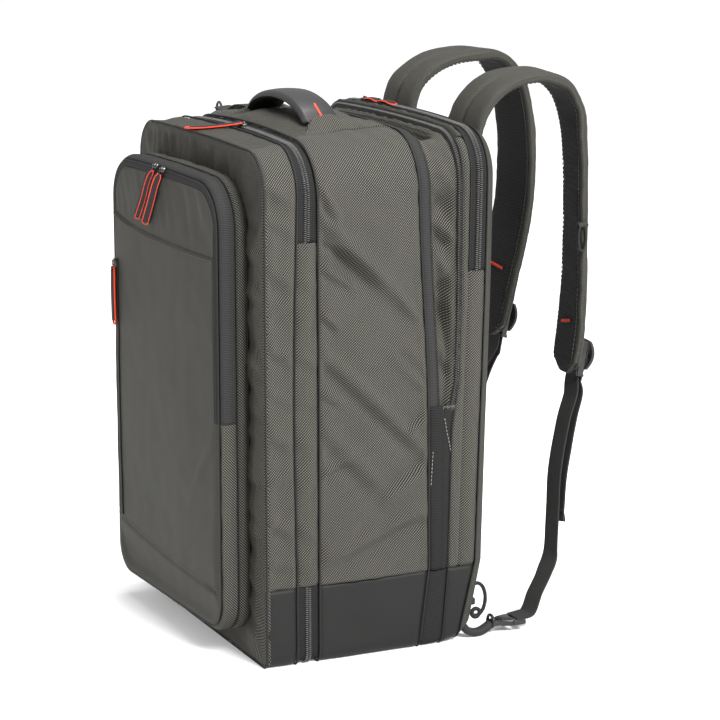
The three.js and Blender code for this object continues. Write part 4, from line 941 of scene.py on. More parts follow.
# Front pocket: a flat pouch on the front section. Twill makes its side, a dark flap with a zip runs
# over the top and down both sides, and its face is smooth cloth in three parts: a yoke, the main
# panel that laps over it, and a narrow panel turned in at the bottom.
POCKET = dict(cx=-0.009, half=0.13, half_top=0.13, top=0.461, crown=0.003, r_top=0.046,
              low=0.025, r_low=0.032)
POCKET_DEPTH, POCKET_ROUND, POCKET_LEAN, POCKET_CROWN = 0.0337, 0.008, 0.16, 0.005
POCKET_BACK, POCKET_SEAM, FACE_START = FRONT_Y - 0.0003, 0.52, 0.36 * math.pi
POCKET_MIDDLE, POCKET_HALF_TALL, POCKET_ZIP_END = np.array((-0.009, 0.243)), 0.218, 0.232


def pocket_y(x, z, depth, filled):
    a, b = (x - POCKET["cx"]) / POCKET["half"], (z - POCKET_MIDDLE[1]) / POCKET_HALF_TALL
    crown = POCKET_CROWN * np.clip((1 - a * a) * (1 - b * b), 0, None)
    return POCKET_BACK - depth * (1 - POCKET_LEAN * a) - crown * filled


def pocket_row(s, x, z, share, angle, lift):
    """Points and directions round the pocket: share up its side, then an angle round its edge."""
    nx, nz = outward(POCKET, s)
    inset = POCKET_ROUND * (1 - math.cos(angle))
    side = POCKET_DEPTH - POCKET_ROUND
    depth = side + POCKET_ROUND * math.sin(angle) if angle > 0 else side * share
    px, pz = x - nx * inset, z - nz * inset
    out = np.stack((nx * math.cos(angle), -math.sin(angle) + 0 * nx, nz * math.cos(angle)), axis=1)
    return np.stack((px, pocket_y(px, pz, depth, 0), pz), axis=1) + out * lift, out


def pocket_band(name, ends, steps, finish, rows, pucker=0.0005, roll=0.0012, seed=0, ring=False):
    """A band round the pocket. steps: share up the side, angle round the edge, lift."""
    length = spread(POCKET, ends(POCKET), 10)[3][-1]
    count = math.ceil(length / 0.0035)
    s, x, z, run = spread(POCKET, ends(POCKET), count)
    if ring:
        s, x, z, run = s[:-1], x[:-1], z[:-1], run[:-1]
    marks = np.linspace(0, len(steps) - 1, rows + 1)
    grid, outs = [], []
    for mark in marks:
        share, angle, lift = (float(np.interp(mark, range(len(steps)), column)) for column in zip(*steps))
        points, out = pocket_row(s, x, z, share, angle, lift)
        grid.append(points)
        outs.append(out)
    grid, outs = np.array(grid), np.array(outs)
    wide = np.linalg.norm(np.diff(grid, axis=0), axis=2).cumsum(axis=0)
    depth = np.concatenate((np.zeros((1, len(x))), wide))
    edge = np.minimum(depth, depth[-1] - depth)
    at_seam, between_seams = np.exp(-edge / 0.01), ease(edge / 0.006)
    rise = ripple(grid, 0.010, seed) * at_seam + 1.6 * ripple(grid, 0.035, seed + 5) * between_seams
    grid = grid + outs * (pucker * rise - roll * np.exp(-(edge / 0.0018) ** 2))[..., None]
    uv = np.stack((run + 0 * depth, depth), axis=-1)
    return cloth_mesh(name, grid, outs, finish, 0.0011, ring=ring, uv=uv)


pocket_side = pocket_band("pocket_side_cloth", whole_loop,
                          ((0, 0, 0), (0.26, 0, 0.0014), (POCKET_SEAM, 0, 0)), twill, 12,
                          pucker=0.0009, seed=51, ring=True)
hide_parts("pocket_gusset")
flap = pocket_band("pocket_zip_flap", arch(POCKET_ZIP_END),
                   ((POCKET_SEAM, 0, 0), (0.76, 0, 0.0002), (0.86, 0, 0.0008), (1, 0, 0.0010),
                    (1, 0.1 * math.pi, 0.0006), (1, FACE_START - 0.03, 0)), tape, 22, pucker=0.0003, seed=52)
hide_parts("pocket_zip")
lower = pocket_band("pocket_lower_cloth", trough(POCKET_ZIP_END),
                    ((POCKET_SEAM, 0, 0), (1, 0, 0.0004), (1, 0.2 * math.pi, 0), (1, FACE_START - 0.03, 0)),
                    twill, 16, pucker=0.0009, seed=53)
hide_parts("pocket_lower_side")


def pocket_line(share, angle, ends, lift=0.0, step=0.003):
    count = math.ceil(spread(POCKET, ends(POCKET), 10)[3][-1] / step)
    s, x, z, _ = spread(POCKET, ends(POCKET), count)
    return pocket_row(s, x, z, share, angle, lift)


for name, share, angle, ends, radius in (
    ("pocket_piping_back", 0.02, 0, whole_loop, 0.0009),
    ("pocket_piping_side", POCKET_SEAM, 0, whole_loop, 0.0006),
    ("pocket_piping_face", 1, FACE_START, whole_loop, 0.0007),
):
    line, _ = pocket_line(share, angle, ends, 0.0001)
    rod(name, line[:-1], radius, piping_dark, closed=True)


def yoke_seam(x):
    return 0.3875 + 0.013 * np.exp(-(x + 0.129) / 0.05)


def low_seam(x):
    return 0.0675 + 0.017 * np.clip((0.122 - x) / 0.249, 0, 1) ** 1.6


SIDE_ZIP_X, SIDE_ZIP_LOW, SIDE_ZIP_TOP = -0.121, 0.088, 0.352


def face_relief(x, z):
    """How far the face stands out beyond its plain crown."""
    below_yoke, below_low = yoke_seam(x) - z, low_seam(x) - z
    lap = 0.0016 * ease(below_yoke / 0.0016)
    turned = -0.0034 * ease(below_low / 0.035) - 0.0016 * np.exp(-(below_low / 0.0016) ** 2)
    spots = np.stack((x, 0 * x, z), axis=-1)
    soft = 0.0011 * ripple(spots, 0.075, 61) + 0.0005 * ripple(spots, 0.022, 62)
    pulled = np.exp(-np.abs(below_yoke) / 0.012) * ripple(np.stack((x, 0 * x, 0.25 * z), axis=-1), 0.012, 63)
    hung = ease((z - 0.385) / 0.03) * ripple(np.stack((x + 0.4 * z, 0 * x, 0.22 * z), axis=-1), 0.014, 64)
    low_fold = np.exp(-((z - 0.19 - 1.3 * (x - 0.09)) / 0.010) ** 2) * ease((x - 0.05) / 0.03)
    return lap + turned + soft + 0.0005 * pulled + 0.0016 * hung + 0.0016 * low_fold


def pocket_face():
    s, x, z, _ = spread(POCKET, (0.0, 2.0), 520)
    s, x, z = s[:-1], x[:-1], z[:-1]
    grid, outs = [], []
    for angle in np.linspace(FACE_START + 0.03, math.pi / 2, 5):
        points, out = pocket_row(s, x, z, 1, angle, 0)
        grid.append(points)
        outs.append(out)
    nx, nz = outward(POCKET, s)
    edge = np.stack((x - nx * POCKET_ROUND, z - nz * POCKET_ROUND), axis=1)
    for share in (0.006, 0.014, 0.024, *np.linspace(0.036, 1, 88)):
        at = edge * (1 - share) + POCKET_MIDDLE * share
        relief = face_relief(at[:, 0], at[:, 1]) * ease(share / 0.05)
        y = pocket_y(at[:, 0], at[:, 1], POCKET_DEPTH, 1) - relief
        grid.append(np.stack((at[:, 0], y, at[:, 1]), axis=1))
        outs.append(np.tile((0.0, -1.0, 0.0), (len(x), 1)))
    grid = np.array(grid)
    return cloth_mesh("pocket_face_cloth", grid, np.array(outs), smooth, ring=True, pole=True,
                      uv=grid[..., [0, 2]])


face = pocket_face()
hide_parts("pocket_face")
# the dark flap laps onto the face as far as the ends of its zip
FLAP_LAP = 0.0032
rim = pocket_line(1, math.pi / 2, whole_loop)[0][:, [0, 2]]
face.data.materials.append(tape)
for facet in face.data.polygons:
    if facet.center.z > POCKET_ZIP_END:
        off = rim - (facet.center.x, facet.center.z)
        facet.material_index = int((off ** 2).sum(axis=1).min() < FLAP_LAP ** 2 + 2e-6)


def on_face(x, z, off):
    """Points in front of the pocket's face."""
    x, z = np.asarray(x, dtype=float), np.asarray(z, dtype=float)
    y = pocket_y(x, z, POCKET_DEPTH, 1) - face_relief(x, z) - off
    return np.stack((x, y, z), axis=-1)


lap_s, rim_x, rim_z, _ = spread(POCKET, arch(POCKET_ZIP_END)(POCKET), 320)
lap_nx, lap_nz = outward(POCKET, lap_s)
lap_x, lap_z = rim_x - lap_nx * (POCKET_ROUND + FLAP_LAP), rim_z - lap_nz * (POCKET_ROUND + FLAP_LAP)
lap_y = pocket_y(lap_x, lap_z, POCKET_DEPTH, 1) - 0.4 * face_relief(lap_x, lap_z)
rod("pocket_lap_seam", np.stack((lap_x, lap_y, lap_z), axis=1), 0.0005, piping_dark)
yoke_x = np.linspace(-0.133, 0.114, 160)
yoke_line = on_face(yoke_x, yoke_seam(yoke_x) + 0.0003, -0.0001)
rod("yoke_piping", yoke_line, 0.0006, piping_dark)
thread_olive = thread("thread_olive", (0.060, 0.058, 0.048))
stitch_x = np.linspace(-0.131, 0.112, 90)
for name, line in (("yoke_stitches", on_face(stitch_x, yoke_seam(stitch_x) - 0.0028, 0.0002)),
                   ("low_stitches", on_face(stitch_x, low_seam(stitch_x) + 0.0028, 0.0002))):
    stitches(name, line, thread_olive)

# Upright zip at the left of the pocket's face: two welts of smooth cloth meet over a concealed coil.
# A strip of piping shows between them.


def sleeve(name, centres, sides, ups, section, finish, widths=None, thicks=None):
    """A closed body along a path. section: points of the outline as shares of width and thickness."""
    centres, section = np.asarray(centres), np.asarray(section)
    n, m = len(centres), len(section)
    widths = np.broadcast_to(widths, (n,))
    thicks = np.broadcast_to(thicks, (n,))
    rings = (centres[:, None] + sides[:, None] * (section[:, 0] * widths[:, None] / 2)[..., None]
             + ups[:, None] * (section[:, 1] * thicks[:, None] / 2)[..., None])
    faces = [(i * m + j, i * m + (j + 1) % m, (i + 1) * m + (j + 1) % m, (i + 1) * m + j)
             for i in range(n - 1) for j in range(m)]
    vertices = rings.reshape(-1, 3)
    a, b, c, _ = faces[len(faces) // 2]
    normal = np.cross(vertices[b] - vertices[a], vertices[c] - vertices[b])
    inverted = np.dot(normal, vertices[a] - centres[a // m]) < 0
    caps = [tuple(reversed(range(m))), tuple((n - 1) * m + j for j in range(m))]
    faces = [face[::-1] for face in faces + caps] if inverted else faces + caps
    mesh = bpy.data.meshes.new(name)
    mesh.from_pydata(vertices.tolist(), [], faces)
    run = np.concatenate(([0], np.linalg.norm(np.diff(centres, axis=0), axis=1).cumsum()))
    round_it = np.vstack((section, section[:1])) * (np.mean(widths) / 2, np.mean(thicks) / 2)
    girth = np.linalg.norm(np.diff(round_it, axis=0), axis=1)
    around = np.concatenate(([0], girth.cumsum()))[:-1]
    corner = np.empty(len(mesh.loops), dtype=int)
    mesh.loops.foreach_get("vertex_index", corner)
    layer = mesh.uv_layers.new(name="weave")
    layer.data.foreach_set("uv", np.stack((run[corner // m], around[corner % m]), axis=1).ravel())
    mesh.materials.append(finish)
    mesh.polygons.foreach_set("use_smooth", [True] * len(mesh.polygons))
    piece = bpy.data.objects.new(name, mesh)
    bpy.context.collection.objects.link(piece)
    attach(piece, "root")
    return piece


def rounded(count, square):
    """Outline between an ellipse, square 1, and a rectangle, square 0."""
    angles = (np.arange(count) + 0.5) / count * 2 * math.pi
    c, d = np.cos(angles), np.sin(angles)
    return np.stack((np.sign(c) * np.abs(c) ** square, np.sign(d) * np.abs(d) ** square), axis=1)


def course(points, count, across):
    """A smooth curve through points, with its directions: centripetal Catmull-Rom."""
    p = np.asarray(points, dtype=float)
    p = np.vstack((2 * p[0] - p[1], p, 2 * p[-1] - p[-2]))
    spots = []
    for f in np.linspace(0, len(p) - 3, count):
        k = min(int(f), len(p) - 4)
        w = f - k
        q = p[k:k + 4]
        gap = [max(np.linalg.norm(q[i + 1] - q[i]) ** 0.5, 1e-5) for i in range(3)]
        m1 = ((q[1] - q[0]) / gap[0] - (q[2] - q[0]) / (gap[0] + gap[1]) + (q[2] - q[1]) / gap[1]) * gap[1]
        m2 = ((q[2] - q[1]) / gap[1] - (q[3] - q[1]) / (gap[1] + gap[2]) + (q[3] - q[2]) / gap[2]) * gap[1]
        a, b = 2 * (q[1] - q[2]) + m1 + m2, -3 * (q[1] - q[2]) - 2 * m1 - m2
        spots.append(((a * w + b) * w + m1) * w + q[1])
    spots = np.array(spots)
    ahead = np.gradient(spots, axis=0)
    ahead /= np.linalg.norm(ahead, axis=1, keepdims=True)
    across = np.asarray(across, dtype=float)
    side = across - ahead * (ahead @ across)[:, None]
    side /= np.linalg.norm(side, axis=1, keepdims=True)
    return spots, ahead, side, np.cross(side, ahead)


heights = np.linspace(SIDE_ZIP_LOW, SIDE_ZIP_TOP, 60)
for name, x in (("side_welt_a", SIDE_ZIP_X - 0.0022), ("side_welt_b", SIDE_ZIP_X + 0.0022)):
    spots, ahead, side, up = course(on_face(x + 0 * heights, heights, 0.0009), 120, (1, 0, 0))
    welt = sleeve(name, spots, side, up, rounded(12, 0.7), smooth, 0.0042, 0.0018)
    if x < SIDE_ZIP_X:
        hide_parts("side_zip")
spots = on_face(SIDE_ZIP_X + 0 * heights, heights, 0.0014)
rod("side_zip_piping", spots, 0.0006, piping_dark)

# Zip pulls: flat moulded cords, black in the middle with a bright orange edge, on small metal
# sliders. The pocket has two, hanging askew; the others lie along their zips.


def moulded(name, first, second, roughness):
    finish = Finish(name, roughness, Coat_Weight=0.1)
    speck = finish.grain(0.0012, 2)
    return finish.done(finish.blend(speck, first, second), speck, 0.00008, 0.4)


pull_black = moulded("pull_black", (0.003, 0.003, 0.003), (0.008, 0.008, 0.008), 0.55)
pull_orange = moulded("pull_orange", (0.56, 0.032, 0.010), (0.72, 0.050, 0.018), 0.5)
metal = Finish("slider_metal", 0.35, Metallic=0.9)
scratch = metal.grain(0.0015, 3)
metal = metal.done(metal.blend(scratch, (0.035, 0.034, 0.033), (0.13, 0.13, 0.125)), scratch, 0.00005, 0.3)


def settle(piece, origin, x_axis, y_axis, z_axis):
    """Turns and moves a finished piece, with its place in its mesh."""
    turn = Matrix((x_axis, y_axis, z_axis)).transposed().to_4x4()
    turn.translation = Vector(origin)
    piece.data.transform(turn)
    piece.data.update()


def only(piece):
    bpy.ops.object.select_all(action="DESELECT")
    piece.select_set(True)
    bpy.context.view_layer.objects.active = piece


def block(name, size, bevel, place=(0, 0, 0), finish=None, segments=2):
    """A box with rounded edges, at the origin unless a place is given."""
    bpy.ops.object.select_all(action="DESELECT")
    bpy.ops.mesh.primitive_cube_add(size=1, location=place)
    piece = bpy.context.object
    piece.name, piece.scale = name, size
    bpy.ops.object.transform_apply(location=True, rotation=True, scale=True)
    bpy.ops.object.mode_set(mode="EDIT")
    bpy.ops.mesh.select_all(action="SELECT")
    bpy.ops.mesh.bevel(offset=bevel, segments=segments, affect="EDGES")
    bpy.ops.object.mode_set(mode="OBJECT")
    if finish:
        piece.data.materials.append(finish)
    return piece


def joined(pieces, name):
    bpy.ops.object.select_all(action="DESELECT")
    for piece in pieces:
        piece.select_set(True)
    bpy.context.view_layer.objects.active = pieces[0]
    bpy.ops.object.join()
    piece = bpy.context.object
    piece.name = name
    bpy.ops.object.shade_smooth_by_angle(angle=math.radians(40))
    return piece


def slider(name, origin, ahead, up):
    """Slider of a zip: a body that narrows to its tail, and a bridge over it for the pull."""
    body = block("body", (0.0085, 0.0066, 0.0026), 0.0008)
    bpy.ops.object.mode_set(mode="EDIT")
    bpy.ops.mesh.select_all(action="DESELECT")
    bpy.ops.object.mode_set(mode="OBJECT")
    for corner in body.data.vertices:
        corner.co.y *= 1 - 0.30 * max(0, corner.co.x / 0.0042)
    bridge = block("bridge", (0.0058, 0.0018, 0.0010), 0.0004, (0, 0, 0.0026))
    posts = [block("post", (0.0010, 0.0018, 0.0022), 0.0003, (x, 0, 0.0016)) for x in (-0.0024, 0.0024)]
    piece = joined([body, bridge, *posts], name)
    piece.data.materials.append(metal)
    ahead, up = Vector(ahead).normalized(), Vector(up).normalized()
    side = up.cross(ahead).normalized()
    settle(piece, origin, ahead, side, ahead.cross(side))
    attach(piece, "root")
    return piece


def pull(node, points, across, out, width=0.0088, thick=0.0026, inset=0.0012, edge_radius=0.0007):
    """The black middle of a pull and its orange edge, which goes down one side, round and back."""
    spots, ahead, side, up = course(points, 26, across)
    taper = np.interp(np.linspace(0, 1, 26), (0, 0.12, 1), (0.62, 1, 1.06)) * width
    middle = sleeve(node + "_middle", spots, side, up, rounded(12, 0.6), pull_black, taper, thick)
    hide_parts(node)
    up_sign = 1 if up[len(up) // 2] @ np.asarray(out, dtype=float) > 0 else -1
    on_top = spots + up * up_sign * (thick / 2 - 0.0003) * (inset > 0)
    reach = taper[:, None] / 2 - inset
    one, two = on_top + side * reach, on_top - side * reach
    bend = np.linspace(0, math.pi, 9)[1:-1, None]
    round_end = on_top[-1] + (side[-1] * np.cos(bend) + ahead[-1] * np.sin(bend)) * reach[-1]
    edge = rod(node + "_edge", np.vstack((one, round_end, two[::-1])), edge_radius, pull_orange)


PULLS = {"a": ((-0.021, 0.455), (-0.055, 0.405)), "b": ((-0.004, 0.4535), (-0.036, 0.403))}
for name, (head, foot) in PULLS.items():
    route = [on_face(head[0] + (foot[0] - head[0]) * t, head[1] + (foot[1] - head[1]) * t, off)
             for t, off in ((0, 0.0034), (0.2, 0.0050), (0.6, 0.0048), (1, 0.0046))]
    pull(f"pocket_pull_{name}", route, (0.65, 0.76, 0), (0.7, -0.7, 0),
         inset=0.0024 if name == "a" else 0.0016,
         edge_radius=0.0005)
    head_at = on_face(head[0] + 0.001, head[1] + 0.0035, 0.0012)
    slider(f"pocket_slider_{name}", head_at, (1, 0, 0.08), (0, -0.8, 0.6))
pull("side_zip_pull", [on_face(SIDE_ZIP_X, z, 0.0040) for z in (0.345, 0.325, 0.290)],
     (1, 0, 0), (0, -1, 0), 0.0070,
     0.0046, -0.0002, 0.0010)
slider("side_slider", on_face(SIDE_ZIP_X, 0.349, 0.0022), (0, 0, 1), (0, -1, 0))


def top_point(first, last, t, x, lift):
    """A point above the bag's top at x."""
    sec = between(first, last, t)
    s = np.linspace(SIDE, 1, 1500)
    line_x, _ = outline(sec, s)
    at = float(np.interp(-abs(x), -line_x, s))
    px, pz = outline(sec, at)
    nx, nz = outward(sec, at)
    y = np.interp(pz, LEAN_AT, sec["lean"])
    return np.array((math.copysign(px + nx * lift, x), y, pz + nz * lift))


route = [top_point("zipA", "zipB", 0.48, 0.006, 0.0028), top_point("face", "zipA", 0.75, -0.004, 0.0022),
         top_point("face", "zipA", 0.25, -0.016, 0.0020), top_point("face", "zipA", 0.03, -0.023, 0.0024)]
pull("front_zip_pull", route, (1, 0, 0), (0, 0, 1), inset=-0.0001)
slider("front_slider", top_point("zipA", "zipB", 0.5, 0.007, 0.0006), (1, 0, 0), (0, 0, 1))
for name, x in (("a", -0.0899), ("b", -0.056)):
    route = [top_point("zipC", "zipD", 0.5, x + dx, lift - 0.0002) for dx, lift in
             ((0, 0.0022), (0.009, 0.0034), (0.019, 0.0034), (0.028, 0.0022))]
    pull(f"rear_zip_pull_{name}", route, (0, 1, 0), (0, 0, 1), 0.0074, inset=-0.0001)
    slider(f"rear_slider_{name}", top_point("zipC", "zipD", 0.5, x - 0.003, 0.0018), (1, 0, 0), (0, 0, 1))

# Grab handle: a bar of moulded rubber on a webbing core, arched over the top. Its flattened feet slip
# under the twill, a moulded lip runs along its front edge, and one foot has an orange slot.
HANDLE_WIDTH, HANDLE_THICK, HANDLE_TOP, HANDLE_FOOT = 0.037, 0.0095, 0.5235, 0.070
sec = between("zipB", "tapeA", 0.4)
FOOT_Z = sec["top"] - sec["crown"] * (0.79 * HANDLE_FOOT / sec["half_top"]) ** 2 + 0.6 * HANDLE_THICK
rising = (FOOT_Z, FOOT_Z + 0.009, HANDLE_TOP - 0.0035)
handle_z = (*rising, HANDLE_TOP, *rising[::-1])
handle_x = np.array((-1, -0.83, -0.49, 0, 0.49, 0.83, 1)) * HANDLE_FOOT
arc, arc_ahead, arc_side, arc_up = course(
    [(x, HANDLE_Y, z) for x, z in zip(handle_x, handle_z)], 97, (0, 1, 0))


def rubber_finish():
    finish = Finish("handle_rubber", 0.42, Specular_IOR_Level=0.35)
    grain, worn = finish.grain(0.0009, 2), finish.grain(0.03, 2)
    colour = finish.blend(worn, (0.0100, 0.0095, 0.0097), (0.0170, 0.0160, 0.0163))
    return finish.done(colour, grain, 0.00012, 0.5, 0.36 + 0.16 * worn)


rubber = rubber_finish()
bpy.ops.object.select_all(action="DESELECT")
bpy.ops.mesh.primitive_cube_add(size=1, location=(0.5, 0, 0))
handle = bpy.context.object
handle.name = "grab_handle_rubber"
bpy.ops.object.transform_apply(location=True)
bpy.ops.object.mode_set(mode="EDIT")
bpy.ops.mesh.select_all(action="SELECT")
bpy.ops.mesh.subdivide(number_cuts=11)
for share in (0.0416, 0.125, 0.208, 0.29, 0.375, 0.458, 0.541, 0.625, 0.708, 0.79, 0.875, 0.958):
    bpy.ops.mesh.select_all(action="SELECT")
    bpy.ops.mesh.bisect(plane_co=(share, 0, 0), plane_no=(1, 0, 0))
bpy.ops.object.mode_set(mode="OBJECT")
HANDLE_THICKS = np.array((0.71, 0.93, 1, 1, 1, 0.93, 0.71)) * HANDLE_THICK
for corner in handle.data.vertices:
    along, y, z = corner.co
    at = along * (len(arc) - 1)
    lerp = [np.array([np.interp(at, range(len(arc)), table[:, k]) for k in range(3)])
            for table in (arc, arc_side, arc_up)]
    thick = float(np.interp(along, np.linspace(0, 1, 7), HANDLE_THICKS))
    a, b = 2 * y, 2 * z
    round_off = max(abs(a), abs(b)) / max(math.hypot(a, b), 1e-6)
    a, b = a * round_off ** 0.62, b * round_off ** 0.62
    crown = 0.10 * (1 - a * a) * (1 if b < 0 else 0.4)
    corner.co = Vector(lerp[0] + lerp[1] * a * HANDLE_WIDTH / 2 + lerp[2] * b * (1 + crown) * thick / 2)
only(handle)
smoother = handle.modifiers.new("smooth", "SUBSURF")
smoother.levels = smoother.render_levels = 1
bpy.ops.object.modifier_apply(modifier="smooth")
bpy.ops.object.shade_smooth()
bpy.ops.object.mode_set(mode="EDIT")
bpy.ops.mesh.select_all(action="SELECT")
bpy.ops.mesh.normals_make_consistent(inside=False)
bpy.ops.object.mode_set(mode="OBJECT")
handle.data.materials.append(rubber)
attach(handle, "root")
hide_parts("grab_handle")
thick = np.interp(np.linspace(0, 1, len(arc)), np.linspace(0, 1, 7), HANDLE_THICKS)[:, None]
for name, edge in (("handle_lip", -1), ("handle_lip_back", 1)):
    lip = arc + arc_side * edge * (HANDLE_WIDTH / 2 - 0.0008) + arc_up * 0.16 * thick
    rod(name, lip[3:-3], 0.0009, rubber)
inlay_at = int(0.86 * (len(arc) - 1))
inlay = block("handle_inlay_slot", (0.0190, 0.0022, 0.0014), 0.0006, finish=pull_orange)
settle(inlay, arc[inlay_at] - arc_up[inlay_at] * (thick[inlay_at] * 0.5 + 0.0002),
       arc_ahead[inlay_at], arc_side[inlay_at],
       arc_up[inlay_at])
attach(inlay, "root")
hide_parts("handle_inlay")

# Shoulder straps: long foam pads between smooth cloth outside and spacer mesh inside. The outer cloth
# is quilted along its middle and turns round the edges onto the underside, where it is stitched to the
# mesh. They are sewn into the back panel's top seam and arch over behind the bag.
STRAP_X, STRAP_WIDTH, STRAP_THICK, STRAP_REACH = 0.075, 0.068, 0.0112, 0.150
BACK_Y, PAD_START = 0.12775, 0.052
PAD_NEAR = (
    dict(y=PAD_START, z=0.86), dict(y=PAD_START + 0.002, z=0.932), dict(y=0.072, z=0.984),
    dict(y=0.148, z=1.032),
    dict(y=0.308, z=1.068), dict(y=0.515, z=1.08), dict(y=0.708, z=1.068, turn=3),
    dict(y=0.835, z=1.024, turn=8),
    dict(y=0.888, z=0.948, turn=13), dict(y=0.905, z=0.85, turn=14), dict(y=0.908, z=0.75, turn=14),
    dict(y=0.905, z=0.65, turn=13), dict(y=0.888, z=0.57, turn=11), dict(y=0.862, z=0.51, turn=9, width=0.91),
    dict(y=0.842, z=0.476, turn=8, width=0.59, thick=0.78),
)
PAD_FAR = (
    dict(y=PAD_START, z=0.86), dict(y=PAD_START + 0.002, z=0.932), dict(y=0.075, z=0.984),
    dict(y=0.135, z=1.038),
    dict(y=0.302, z=1.078), dict(y=0.542, z=1.094), dict(y=0.768, z=1.088, turn=2),
    dict(y=0.908, z=1.04, turn=3),
    dict(y=0.975, z=0.96, turn=4), dict(y=0.998, z=0.86, turn=4), dict(y=0.975, z=0.77, turn=4),
    dict(y=0.915, z=0.68, turn=4), dict(y=0.848, z=0.6, turn=4), dict(y=0.808, z=0.536, turn=4, width=0.91),
    dict(y=0.782, z=0.5, turn=4, width=0.59, thick=0.78),
)


class Strap:
    """Where one shoulder pad runs, with its directions, width and thickness at each step."""

    def __init__(self, rows, sign, count=260):
        points = [(STRAP_X, BACK_Y + k["y"] * STRAP_REACH, k["z"] * HEIGHT) for k in rows]
        self.spots, self.ahead, self.side, _ = course(points, count, (1, 0, 0))
        at = np.linspace(0, len(rows) - 1, count)
        low = np.minimum(at.astype(int), len(rows) - 2)
        share = ease(at - low)

        def value(name, plain):
            table = np.array([k.get(name, plain) for k in rows], dtype=float)
            return table[low] * (1 - share) + table[low + 1] * share

        turn = np.radians(value("turn", 0))[:, None]
        self.side = self.side * np.cos(turn) + np.cross(self.ahead, self.side) * np.sin(turn)
        self.up = np.cross(self.side, self.ahead)
        self.width = value("width", 1) * STRAP_WIDTH
        self.thick = value("thick", 1) * STRAP_THICK
        self.sign = np.array((sign, 1, 1))

    def at(self, share):
        k = share * (len(self.spots) - 1)
        pick = lambda table: np.array([np.interp(k, range(len(table)), column) for column in table.T])
        size = [float(np.interp(k, range(len(self.width)), table)) for table in (self.width, self.thick)]
        return pick(self.spots), pick(self.ahead), pick(self.side), pick(self.up), *size


MESH_SEAM, HALF_PAD = 0.0055, STRAP_WIDTH / 2


def pad_columns():
    """Outline of a pad, from edge to edge outside and back underneath: place across, height, side."""
    outer = np.sin(np.linspace(-1, 1, 31) * math.pi / 2)
    outer = np.sort(np.concatenate((outer, (-0.05, -0.025, 0.025, 0.05))))
    inner = np.sin(np.linspace(1, -1, 31) * math.pi / 2)
    seam = 1 - MESH_SEAM / HALF_PAD
    by_seam = [middle + off for middle in (seam, -seam) for off in (0, -0.03, 0.03)]
    inner = -np.sort(-np.concatenate((inner, by_seam)))
    return outer, inner


def pad_height(a, outside):
    from_edge = (1 - np.abs(a)) * HALF_PAD
    swell = 0.30 + 0.70 * np.sqrt(np.clip(1 - (1 - np.clip(from_edge / 0.012, 0, 1)) ** 2, 0, 1))
    if outside:
        return swell - 0.70 * np.exp(-(a * HALF_PAD / 0.0030) ** 2)
    return swell - 0.16 * np.exp(-((from_edge - MESH_SEAM) / 0.0011) ** 2)


